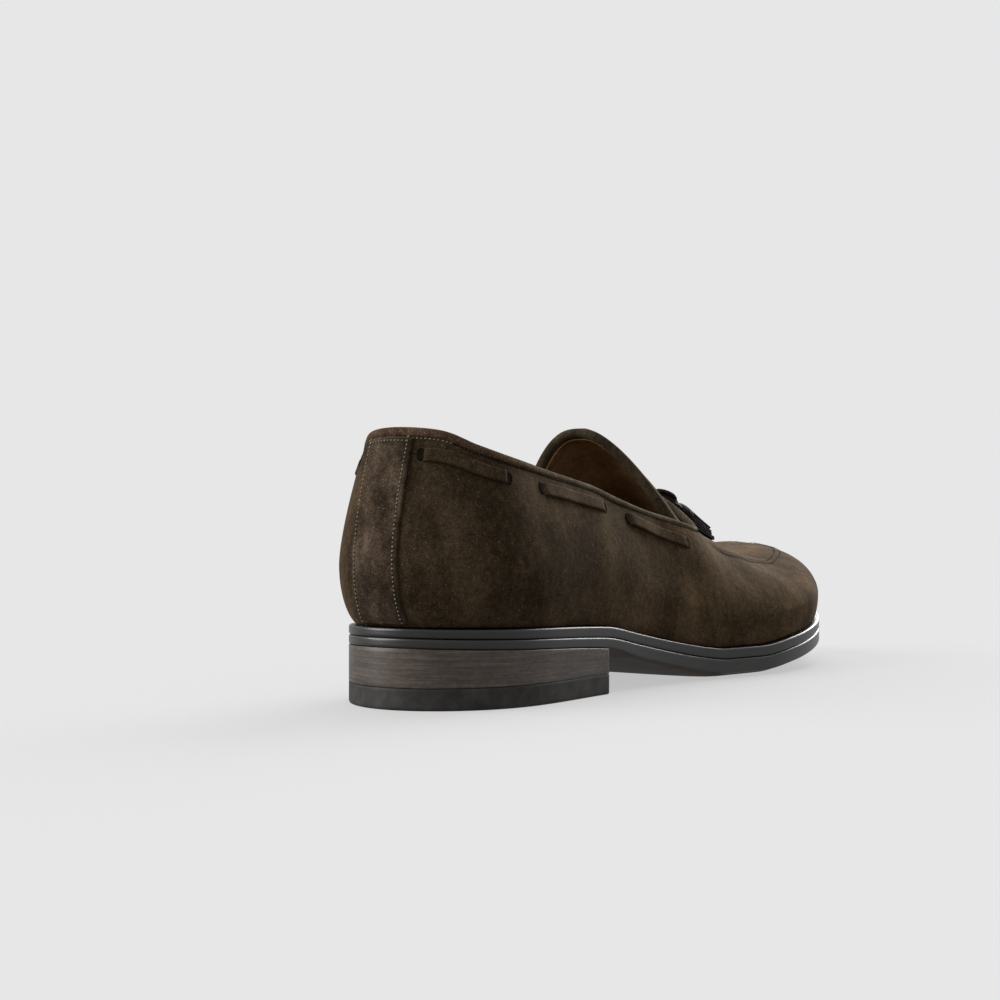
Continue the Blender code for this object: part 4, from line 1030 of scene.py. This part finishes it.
def heel_rings(low, high, round_low, round_high, steps=8):
    """Rings of a heel layer: the outline as far as the breast, then the hollow breast face."""
    p = np.linspace(0, way_of(HEEL_LENGTH / LENGTH), 110)
    levels = [(round_low, low, 0.0), (round_low * 0.3, low, round_low * 0.3), (0.0, low, round_low)]
    levels += [(0.0, None, (k + 1) / steps) for k in range(steps - 1)]
    levels += [(0.0, high, -round_high), (round_high * 0.3, high, -round_high * 0.3), (round_high, high, 0.0)]
    rings = []
    for inset, base, extra in levels:
        def height(y, base=base, extra=extra):
            if base is None:
                return low(y) + round_low + (high(y) - low(y) - round_low - round_high) * extra
            return base(y) + extra
        halves = []
        for side in ("outer", "inner"):
            place, out = edge(side, p)
            line = place - out * inset
            corner = line[-1]
            reach = np.linspace(1, 0, 14)[1:]
            y = HEEL_LENGTH - BREAST_HOLLOW * (1 - reach**2) - inset
            line = np.concatenate([line, np.stack([corner[0] * reach, y], axis=1)])
            halves.append(np.concatenate([line, height(line[:, 1])[:, None]], axis=1))
        rings.append(np.concatenate([halves[0], halves[1][-2:0:-1]]))
    return rings


# Stained leather board: mid brown, satin, with fine level streaks and a dark joint every few millimetres.
heel_board, tree, shader = new_material("stained_leather_board", {
    "Roughness": 0.42, "Specular IOR Level": 0.45, "Coat Weight": 0.25, "Coat Roughness": 0.3,
})
place = add(tree, "ShaderNodeTexCoord").outputs["Object"]
streaks = noise(tree, place, 0.7 * MM, 3.0, 0.65, (0.035, 0.035, 1.0))
clouds = noise(tree, place, 16 * MM, 3.0, 0.6)
fibres = noise(tree, place, 0.9 * MM, 2.0, 0.6, (0.4, 0.4, 1.0))
mixed = blend(tree, blend(tree, streaks, clouds, 0.35), fibres, 0.25)
colour = ramp(tree, mixed, [(0.36, "352d26"), (0.47, "493f37"), (0.56, "594e46"), (0.66, "6c6057")])
height = add(tree, "ShaderNodeSeparateXYZ", {}, {"Vector": place}).outputs["Z"]
joint = add(tree, "ShaderNodeMath", {"operation": "PINGPONG", 1: LIFT / 2}, {0: height}).outputs["Value"]
line = add(tree, "ShaderNodeMapRange", {"From Max": JOINT / 2, "To Min": 0.55, "To Max": 0.0},
           {"Value": joint})
mix = add(tree, "ShaderNodeMix", {"data_type": "RGBA"}, {"Factor": line.outputs["Result"]})
tree.links.new(colour, mix.inputs[6])
mix.inputs[7].default_value = linear("1c1511")
tree.links.new(mix.outputs[2], shader.inputs["Base Color"])
bump = add(tree, "ShaderNodeBump", {"Strength": 0.3, "Distance": 0.12 * MM}, {"Height": streaks})
tree.links.new(bump.outputs["Normal"], shader.inputs["Normal"])

stack = sole_layer(
    "heel_lifts", heel_rings(lambda y: TOPLIFT + 0.1 * MM + 0 * y, lambda y: underside(y) - 0.05 * MM,
                             0.25 * MM, 0.25 * MM), [heel_board])
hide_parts("heel_stack")

# Moulded rubber: near black, matt, with a faint dusty bloom.
heel_rubber, tree, shader = new_material("moulded_heel_rubber", {
    "Roughness": 0.62, "Specular IOR Level": 0.4,
})
place = add(tree, "ShaderNodeTexCoord").outputs["Object"]
bloom = noise(tree, place, 6 * MM, 4.0, 0.6)
dusty = ramp(tree, bloom, [(0.35, "23211f"), (0.5, "302d2a"), (0.68, "3e3a35")])
tree.links.new(dusty, shader.inputs["Base Color"])
grit = noise(tree, place, 0.5 * MM, 2.0, 0.6)
bump = add(tree, "ShaderNodeBump", {"Strength": 0.2, "Distance": 0.08 * MM}, {"Height": grit})
tree.links.new(bump.outputs["Normal"], shader.inputs["Normal"])

toplift = sole_layer(
    "rubber_toplift",
    heel_rings(lambda y: 0 * y, lambda y: TOPLIFT + 0 * y, TOPLIFT_ROUND, 0.3 * MM),
    [heel_rubber])
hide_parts("toplift")


# The lace
# A flat suede thong that runs in and out of punched slots round the quarters, and shows as three bars on
# each side. Each bar dives into a slot at both of its ends, and lies a little proud in between. Each slot is
# a dark disc with a low rim: painted shade in its opening.
LACE_WIDTH = 4.5 * MM
LACE_THICK = 0.95 * MM
SLOT_LONG = 3.6 * MM
SLOT_WIDE = 2.0 * MM
SLOT_BEYOND = 1.5 * MM
DIVE = 2.6 * MM
HIDDEN_DIVE = 4 * DIVE
SUNK = 1.7 * MM
RISEN = 1.8 * MM
WOBBLE = 0.12 * MM
HIDDEN_START = 0.022
THONG_HALF = [(0.7, 1.0), (0.94, 0.96), (1, 0.75), (1, 0.0)]
THONG_OUTLINE = [(-a, b) for a, b in THONG_HALF[::-1]] + [(0, 1.0)] + THONG_HALF
SLOT_RINGS = (
    # share of the slot, out from the suede
    (1.28, -0.15 * MM),
    (1.20, 0.16 * MM),
    (1.05, 0.22 * MM),
    (0.92, 0.10 * MM),
    (0.70, 0.05 * MM),
)
SLOT_POINTS = 20
BAR_PROUD = {"outer": 0.2 * MM, "inner": 0.1 * MM}
LACE_BARS = (
    # start, end, drop at start, drop at end
    (0.008, 0.088, 7.9 * MM, 7.2 * MM),
    (0.155, 0.300, 7.1 * MM, 6.2 * MM),
    (0.356, 0.481, 6.1 * MM, 8.0 * MM),
)
# Near-black matt discs and beads: painted shade inside the lace slots and the needle holes.
slot_and_hole_shade, _, _ = new_material("cut_suede_in_shade", {
    "Base Color": linear("18120d"), "Roughness": 0.95, "Specular IOR Level": 0.1,
})


def bar_line(side, bar, share):
    """Middle of a bar on the quarter at shares of its length, with the ways along, across and out."""
    start, end, drop_start, drop_end = bar
    p = way_of(start) + (way_of(end) - way_of(start)) * share
    z = topline_height(side, p) - (drop_start + (drop_end - drop_start) * share)
    v = v_at_height(side, p, z)
    return wall(side, p, v), *frames_along(wall(side, p, v), wall_normal(side, p, v))


for side in ("outer", "inner"):
    slots = []
    for number, bar in enumerate(LACE_BARS, 1):
        share = np.linspace(0, 1, 56)
        hidden_start = side == "inner" and number == 1
        start = bar[0] + HIDDEN_START * hidden_start
        line, along, across, up = bar_line(side, (start, *bar[1:]), share)
        way = np.concatenate([[0], np.cumsum(np.linalg.norm(np.diff(line, axis=0), axis=1))])
        first_dive = HIDDEN_DIVE if hidden_start else DIVE
        near_end = np.clip(np.minimum(way / first_dive, (way[-1] - way) / DIVE), 0, 1)
        proud = BAR_PROUD[side] * np.sin(math.pi * share)
        rise = RISEN * np.sin(near_end * math.pi / 2) ** 0.8 - SUNK + proud
        wobble = WOBBLE * np.sin(share * 9 + number)
        wobble, rise = wobble[:, None], rise[:, None]
        rings = [line + across * (a * LACE_WIDTH / 2 + wobble) + up * (rise + b * LACE_THICK)
                 for a, b in THONG_OUTLINE]
        thong = tube(f"lace_thong_{side}_{number}", np.stack(rings, axis=1), [brown_suede])
        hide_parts(f"lace_bar_{side}_{number}")
        for at, outward in ((2, -1), (-3, 1)):
            slots.append((line[at] + along[at] * outward * SLOT_BEYOND, along[at], across[at], up[at]))
    points, faces = [], []
    for centre, along, across, up in slots:
        turns = np.linspace(0, 2 * math.pi, SLOT_POINTS, endpoint=False)
        first = len(points)
        for reach, out in SLOT_RINGS:
            for t in turns:
                points.append(centre + along * math.cos(t) * SLOT_WIDE / 2 * reach
                              + across * math.sin(t) * SLOT_LONG / 2 * reach + up * out)
        faces += grid_faces(len(SLOT_RINGS), SLOT_POINTS, close_columns=True, first=first)
        last = len(points) - SLOT_POINTS
        faces.append(tuple(last + i for i in range(SLOT_POINTS)))
        faces.append(tuple(first + i for i in range(SLOT_POINTS))[::-1])
    add_piece(f"lace_slots_{side}", points, faces, [slot_and_hole_shade])


# The front lace, its knot and the tassels
# The lace comes out on the vamp, is tied over the ridge, and ends in two tassels: a rolled cap over a fringe
# of strips cut from one piece of leather. The strips lie on the vamp, spread and are ragged at their ends.
LACE_FRONT_ALONG = 0.568
LACE_FRONT_OUTER = 0.290
LACE_FRONT_INNER = -0.275
KNOT_ALONG = 0.590
KNOT_ACROSS = 0.105
KNOT_LIFT = 3.3 * MM
KNOT_LOOP = np.array((1.7, 1.9, 1.3)) * MM
KNOT_LOOP_LIFT = 0.6 * MM
KNOT_STRAND = (1.8 * MM, 1.1 * MM)
KNOT_CORE = (5.2 * MM, 4.6 * MM, 2.5 * MM)
FRONT_POINTS = 70
TASSEL_WIDTH = 15 * MM
TASSEL_THICK = 4.4 * MM
TASSEL_TIPS = {"outer": (0.681, 0.150), "inner": (0.683, -0.170)}
STRANDS = 13
LAYERS = 5
BRIDGE = (0.9 * MM, 0.2 * MM)
TASSEL_STEPS = 40
CAP = (
    # share of the way, half width and half height as shares of the tassel's
    (0.00, 0.150, 0.36),
    (0.02, 0.250, 0.52),
    (0.06, 0.300, 0.60),
    (0.10, 0.285, 0.58),
    (0.11, 0.305, 0.62),
    (0.16, 0.305, 0.62),
    (0.17, 0.285, 0.58),
    (0.18, 0.305, 0.63),
    (0.23, 0.310, 0.63),
    (0.25, 0.270, 0.56),
    (0.28, 0.240, 0.50),
)
CAP_LIFT = 0.3 * MM
STRAND_FROM = 0.22
STRAND_STEPS = 11
STRAND_HALF = (0.62 * MM, 0.42 * MM)
STRAND_OUTLINE = ((-1, -1), (1, -1), (1.1, 0), (1, 1), (-1, 1), (-1.1, 0))
LAYER_RISE = 1.15 * MM
dark_lace = leather_finish(
    "waxed_dark_lace_leather", ("15100c", "1f1813", "2b231c"), 0.7, 0.14, 1.0 * MM, 0.1 * MM)


def on_vamp(across, along):
    """A point on the vamp and its normal, from shares of the ball width and of the length."""
    y = along * LENGTH
    return surface_at(crown_line_x(y) + across * BALL_WIDTH, y)


found = []
for share in np.linspace(-1, 1, FRONT_POINTS):
    end_across = LACE_FRONT_OUTER if share > 0 else LACE_FRONT_INNER
    along_share = KNOT_ALONG - (KNOT_ALONG - LACE_FRONT_ALONG) * abs(share) ** 1.5
    found.append(on_vamp(end_across * abs(share), along_share))
line = smoothed(np.array([hit for hit, _ in found]), 4)
_, across, up = frames_along(line, smoothed(np.array([normal for _, normal in found]), 8))
place_in_row = np.arange(FRONT_POINTS)
near_end = np.clip(np.minimum(place_in_row, FRONT_POINTS - 1 - place_in_row) / 5, 0, 1)[:, None]
rise = -1.6 * MM + 1.9 * MM * near_end
rings = [line + across * a * LACE_WIDTH / 2 + up * (rise + b * LACE_THICK)
         for a, b in ((-1, 0), (-1, 0.6), (-0.8, 0.95), (0, 1.05), (0.8, 0.95), (1, 0.6), (1, 0))]
front = tube("lace_on_vamp", np.stack(rings, axis=1), [brown_suede])
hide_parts("lace_front")

low, normal = on_vamp(KNOT_ACROSS, KNOT_ALONG)
turn = np.array(Vector(normal).to_track_quat("Z", "Y").to_matrix())
t = np.linspace(0, 2 * math.pi, 180, endpoint=False)
wide = 2 + np.cos(3 * t)
loop = np.stack([wide * np.cos(2 * t), wide * np.sin(2 * t), np.sin(3 * t)], axis=1) * KNOT_LOOP
loop = low + normal * (KNOT_LIFT + KNOT_LOOP_LIFT) + loop @ turn.T
lapped = np.concatenate([loop[-3:], loop, loop[:3]])
_, across, up = frames_along(lapped, np.tile(normal, (len(lapped), 1)))
across, up = across[3:-3], up[3:-3]
rings = [loop + across * math.cos(a) * KNOT_STRAND[0] + up * math.sin(a) * KNOT_STRAND[1]
         for a in np.linspace(0, 2 * math.pi, 12, endpoint=False)]
knot = tube("lace_knot", np.stack(rings, axis=1), [dark_lace], closed=True)
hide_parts("knot")

# The turns wound round inside the knot
wound = []
for s in np.linspace(-1, 1, 49):
    ridge = 1 + 0.12 * abs(math.sin(2.5 * math.pi * s))
    round_off = math.sqrt(max(1 - abs(s) ** 4, 0.02))
    place = low + normal * KNOT_LIFT + turn[:, 0] * s * KNOT_CORE[0]
    side_way, up_way = turn[:, 1] * KNOT_CORE[1], normal * KNOT_CORE[2]
    wound.append([place + (side_way * math.cos(a) + up_way * math.sin(a)) * ridge * round_off
                  for a in np.linspace(0, 2 * math.pi, 28, endpoint=False)])
tube("lace_knot_turns", wound, [dark_lace])

dice = np.random.default_rng(11)
for side in ("outer", "inner"):
    tip_along, tip_across = TASSEL_TIPS[side]
    outward = 1 if side == "outer" else -1
    start_along, start_across = KNOT_ALONG + 0.012, KNOT_ACROSS + outward * 0.035
    shares = np.linspace(0, 1, TASSEL_STEPS + 1)
    far_across, far_along = tip_across - start_across, tip_along - start_along
    found = [on_vamp(start_across + far_across * s, start_along + far_along * s) for s in shares]
    line = np.array([hit for hit, _ in found])
    ends = [line[end] + (0, 0, lift) for end, lift in zip((0, -1), BRIDGE)]
    straight = ends[0] + (ends[1] - ends[0]) * shares[:, None]
    line[:, 2] = np.maximum(line[:, 2], straight[:, 2])
    line = smoothed(line, 6)
    along, across, up = frames_along(line, smoothed(np.array([normal for _, normal in found]), 12))
    cap_rings = []
    for place, half_wide, half_tall in CAP:
        i = int(round(place * TASSEL_STEPS))
        base = line[i] + along[i] * (place - i / TASSEL_STEPS) * np.linalg.norm(line[-1] - line[0])
        base = base + up[i] * (half_tall * TASSEL_THICK + CAP_LIFT)
        cap_rings.append([base + across[i] * math.cos(a) * half_wide * TASSEL_WIDTH
                          + up[i] * math.sin(a) * half_tall * TASSEL_THICK
                          for a in np.linspace(0, 2 * math.pi, 24, endpoint=False)])
    tube(f"tassel_cap_{side}", cap_rings, [dark_lace])
    points, faces = [], []
    for layer in range(LAYERS):
        for k in range(STRANDS - 2 * layer):
            spread = 2 * (k + 0.5) / (STRANDS - 2 * layer) - 1
            end = 1.0 - 0.05 * dice.random() - 0.02 * layer - 0.05 * spread**2
            sway = 0.035 * (dice.random() - 0.5)
            curl = 0.5 * MM * dice.random()
            section = []
            for s in np.linspace(STRAND_FROM, end, STRAND_STEPS):
                i = min(s * TASSEL_STEPS, TASSEL_STEPS - 0.001)
                n = int(i)
                base = line[n] + (line[n + 1] - line[n]) * (i - n)
                gone = s - STRAND_FROM
                fan = 0.24 * (1 + gone / (1 - STRAND_FROM)) * (1 - 0.12 * layer)
                drift = sway * math.sin(3 * gone)
                lift = LAYER_RISE * layer * (1 - 0.15 * s) + curl * s**3 + 0.4 * MM * (1 - abs(spread))
                lift += 0.13 * MM + STRAND_HALF[1]
                centre = base + across[n] * (spread * fan + drift) * TASSEL_WIDTH + up[n] * lift
                section.append([centre + across[n] * a * STRAND_HALF[0] + up[n] * b * STRAND_HALF[1]
                                for a, b in STRAND_OUTLINE])
            first = len(points)
            points += [point for ring in section for point in ring]
            size = len(STRAND_OUTLINE)
            faces += grid_faces(STRAND_STEPS, size, close_columns=True, first=first)
            faces.append(tuple(first + i for i in range(size))[::-1])
            faces.append(tuple(len(points) - size + i for i in range(size)))
    skirt = add_piece(f"tassel_skirt_{side}", points, faces, [dark_lace])
    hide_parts(f"tassel_{side}")


# The stitches
# Waxed olive-tan thread, lockstitched by machine, and darker thread on the sides and the seam. The darker
# thread is near black and matt, partly thread and partly painted shade: the shaded groove under the collar
# roll and the apron seam's shaded crease. Real stitches are finer: they are drawn at 1.4 mm, each after a
# needle hole, so that they still show in the picture. The needle holes are dark beads of painted shade.
PITCH = 1.4 * MM
STITCH_LONG = 0.95 * MM
STITCH_WIDE = 0.6 * MM
STITCH_TALL = 0.3 * MM
HOLE = (0.7 * MM, 0.72 * MM, 0.24 * MM)
HOLE_SINK = 0.04 * MM

thread, tree, shader = new_material("waxed_olive_thread", {"Roughness": 0.6, "Specular IOR Level": 0.35})
place = add(tree, "ShaderNodeTexCoord").outputs["Object"]
twist = noise(tree, place, 1.1 * MM, 2.0, 0.5)
strands = ramp(tree, twist, [(0.35, "5f5846"), (0.5, "7a725d"), (0.65, "948b75")])
tree.links.new(strands, shader.inputs["Base Color"])

stitching = bpy.data.node_groups.new("stitch_row", "GeometryNodeTree")
stitching.interface.new_socket("Line", in_out="INPUT", socket_type="NodeSocketGeometry")
sockets = {}
kinds = {name: "NodeSocketFloat" for name in ("Pitch", "Length", "Width", "Height")}
kinds["Thread"] = "NodeSocketMaterial"
for name, kind in kinds.items():
    socket = stitching.interface.new_socket(name, in_out="INPUT", socket_type=kind)
    sockets[name] = socket.identifier
stitching.interface.new_socket("Stitches", in_out="OUTPUT", socket_type="NodeSocketGeometry")
given = add(stitching, "NodeGroupInput").outputs
curve = add(stitching, "GeometryNodeMeshToCurve", {}, {"Mesh": given["Line"]})
spaced = add(stitching, "GeometryNodeResampleCurve", {"mode": "LENGTH"},
             {"Curve": curve.outputs["Curve"], "Length": given["Pitch"]})
tangent = add(stitching, "GeometryNodeInputTangent")
stored = add(stitching, "GeometryNodeInputNamedAttribute", {"data_type": "FLOAT_VECTOR", "Name": "up"})
turned = add(stitching, "FunctionNodeAxesToRotation", {"primary_axis": "Z", "secondary_axis": "X"},
             {"Primary Axis": stored.outputs["Attribute"], "Secondary Axis": tangent.outputs["Tangent"]})
bead = add(stitching, "GeometryNodeMeshUVSphere", {"Segments": 6, "Rings": 4, "Radius": 0.5})
size = add(stitching, "ShaderNodeCombineXYZ", {}, {
    "X": given["Length"], "Y": given["Width"], "Z": given["Height"],
})
placed = add(stitching, "GeometryNodeInstanceOnPoints", {}, {
    "Points": spaced.outputs["Curve"], "Instance": bead.outputs["Mesh"],
    "Rotation": turned.outputs["Rotation"], "Scale": size.outputs["Vector"],
})
real = add(stitching, "GeometryNodeRealizeInstances", {}, {"Geometry": placed.outputs["Instances"]})
dyed = add(stitching, "GeometryNodeSetMaterial", {}, {
    "Geometry": real.outputs["Geometry"], "Material": given["Thread"],
})
add(stitching, "NodeGroupOutput", {}, {"Stitches": dyed.outputs["Geometry"]})


def stitch(name, lines, thread, pitch=PITCH, size=(STITCH_LONG, STITCH_WIDE, STITCH_TALL)):
    """Rows of stitches or holes along lines of points, each with the surface's normals."""
    points = np.concatenate([line for line, _ in lines])
    normals = np.concatenate([up for _, up in lines])
    edges, first = [], 0
    for line, _ in lines:
        edges += [(first + i, first + i + 1) for i in range(len(line) - 1)]
        first += len(line)
    mesh = bpy.data.meshes.new(name + "_line")
    mesh.from_pydata((points - (0, HEEL_LENGTH / 2, 0)).tolist(), edges, [])
    mesh.attributes.new("up", "FLOAT_VECTOR", "POINT").data.foreach_set("vector", normals.ravel())
    row = bpy.data.objects.new(name, mesh)
    bpy.context.scene.collection.objects.link(row)
    maker = row.modifiers.new("stitches", "NODES")
    maker.node_group = stitching
    values = {"Pitch": pitch, "Length": size[0], "Width": size[1], "Height": size[2], "Thread": thread}
    for socket, value in values.items():
        maker[sockets[socket]] = value
    seen = bpy.context.evaluated_depsgraph_get()
    made = bpy.data.meshes.new_from_object(row.evaluated_get(seen), depsgraph=seen)
    row.modifiers.clear()
    row.data = made
    made.shade_smooth()
    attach(row, "root")
    return row


def on_skin(points, lift):
    """The points brought to the suede, a little out from it, and the normals there."""
    middle = np.array((0, HEEL_LENGTH / 2, 0))
    places, normals = [], []
    for point in points:
        hit, normal, _, _ = skin_tree.find_nearest(Vector(point - middle))
        places.append(np.array(hit) + middle + np.array(normal) * lift)
        normals.append(np.array(normal))
    return np.array(places), np.array(normals)


def between(lines, sink=HOLE_SINK):
    """The same lines, begun half a stitch later and sunk a little, for the needle holes."""
    moved = []
    for line, up in lines:
        way = np.concatenate([[0], np.cumsum(np.linalg.norm(np.diff(line, axis=0), axis=1))])
        at = np.linspace(PITCH / 2, way[-1], len(line))
        places, ups = (np.stack([np.interp(at, way, part[:, k]) for k in range(3)], axis=1)
                       for part in (line, up))
        moved.append((places - ups * sink, ups))
    return moved


STITCH_BELOW = 0.55 * MM
PALE_TO = 0.045
STRIP_TOP_STITCH = 0.984
STRIP_EDGE_STITCH = 0.84
ON_STRIP = STRIP_OUT + 0.05 * MM
# Near-black matt thread: partly thread, partly painted shade of grooves and creases.
dark_thread_and_shade, _, _ = new_material("dark_thread_and_painted_shade", {
    "Base Color": linear("1c140c"), "Roughness": 0.95, "Specular IOR Level": 0.03,
})
ring = heads + downs * (legs + STITCH_BELOW)[:, None]
at_back = np.flatnonzero(ring[:, 1] < PALE_TO * LENGTH)
at_sides = np.flatnonzero(ring[:, 1] >= PALE_TO * LENGTH)
at_back = np.concatenate([at_back[at_back > len(ring) / 2], at_back[at_back < len(ring) / 2]])
collar_lines = [on_skin(ring[at_back], 0.1 * MM)]
stitch("stitches_collar_back", collar_lines, thread)
# The needle holes: dark beads of painted shade, sunk a little between the stitches.
stitch("holes_collar_back", between(collar_lines), slot_and_hole_shade, size=HOLE)
# Dark stitches under the collar roll: partly thread, partly painted shade of the groove where the binding is
# sewn down.
stitch("stitches_collar_sides", [on_skin(ring[at_sides], 0.05 * MM)], dark_thread_and_shade,
       size=(1.2 * MM, 0.6 * MM, STITCH_TALL))

share = np.linspace(0.02, 1, 120)
strip_lines = []
rows = [(share, np.full_like(share, t)) for t in (-STRIP_EDGE_STITCH, STRIP_EDGE_STITCH)]
rows.append((np.full(40, STRIP_TOP_STITCH), np.linspace(-0.8, 0.8, 40)))
for up_strip, over_strip in rows:
    p, v = strip_places(up_strip, over_strip)
    strip_lines.append((skin("outer", p, v, np.full_like(p, ON_STRIP)), wall_normal("outer", p, v)))
stitch("stitches_heel_strip", strip_lines, thread)
stitch("holes_heel_strip", between(strip_lines), slot_and_hole_shade, size=HOLE)

seam_lines = [(seam_line + seam_across * turn * SEAM_WIDTH / 2 + seam_up * 0.35 * MM, seam_up)
              for turn in (-1, 1)]
# Dark stitches on the apron seam: partly thread, partly painted shade of the seam's crease.
stitch("stitches_apron", seam_lines, dark_thread_and_shade, 2.0 * MM, (1.9 * MM, 0.3 * MM, 0.22 * MM))

rim_line = rim + rim_down * (TONGUE_LEG + 0.7 * MM) + rim_out * (TONGUE_WALL / 2 + 0.08 * MM)
stitch("stitches_tongue", [(rim_line, rim_out)], thread)


# The studio
# A pale round floor that reaches to the horizon, under a pale even sky. Wide soft lamps shine from the left,
# from the right beyond the shoe and from above. The side towards the camera stays dimmer.
FLOOR_RADIUS = 60.0
FLOOR_SIDES = 96
PALE = linear("e7e7e7")
WHITE = linear("ffffff")
floor_paper, tree, shader = new_material("pale_paper", {
    "Base Color": linear("767676"), "Roughness": 1.0, "Specular IOR Level": 0.0,
    "Emission Color": WHITE, "Emission Strength": 0.5,
})
turns = np.linspace(0, 2 * math.pi, FLOOR_SIDES, endpoint=False)
mesh = bpy.data.meshes.new("paper_floor")
corners = [(FLOOR_RADIUS * math.cos(t), FLOOR_RADIUS * math.sin(t), 0.0) for t in turns]
mesh.from_pydata(corners, [], [range(FLOOR_SIDES)])
mesh.materials.append(floor_paper)
floor = bpy.data.objects.new("paper_floor", mesh)
floor.visible_diffuse = False
floor.visible_glossy = False
bpy.context.scene.collection.objects.link(floor)

world = bpy.data.worlds.new("studio_air")
world.use_nodes = True
air = world.node_tree
sky = air.nodes["Background"]
sky.inputs["Color"].default_value = WHITE
way_there = add(air, "ShaderNodeTexCoord").outputs["Generated"]
up_there = add(air, "ShaderNodeSeparateXYZ", {}, {"Vector": way_there}).outputs["Z"]
glow = add(air, "ShaderNodeMapRange", {"From Min": -1.0, "From Max": 1.0, "To Min": 0.22, "To Max": 0.54},
           {"Value": up_there}).outputs["Result"]
seen = add(air, "ShaderNodeLightPath").outputs["Is Camera Ray"]
air.links.new(blend(air, glow, PALE[0], seen), sky.inputs["Strength"])
bpy.context.scene.world = world
bpy.context.scene.view_settings.view_transform = "Standard"

LAMPS = (
    # name, right of the shoe, beyond it, up, width in degrees, strength
    ("soft_lamp_left", -0.88, -0.12, 0.42, 50, 2.3),
    ("soft_lamp_right", 0.50, 0.78, 0.45, 40, 2.7),
    ("soft_lamp_above", 0.05, 0.45, 0.89, 60, 1.7),
)
for name, right, beyond, up, wide, strength in LAMPS:
    lamp = bpy.data.lights.new(name, "SUN")
    lamp.angle = math.radians(wide)
    lamp.energy = strength
    lit_from = Vector((right * math.cos(VIEW_TURN) - beyond * math.sin(VIEW_TURN),
                       right * math.sin(VIEW_TURN) + beyond * math.cos(VIEW_TURN), up))
    stand = bpy.data.objects.new(name, lamp)
    stand.location = lit_from
    stand.rotation_euler = lit_from.to_track_quat("Z", "Y").to_euler()
    bpy.context.scene.collection.objects.link(stand)
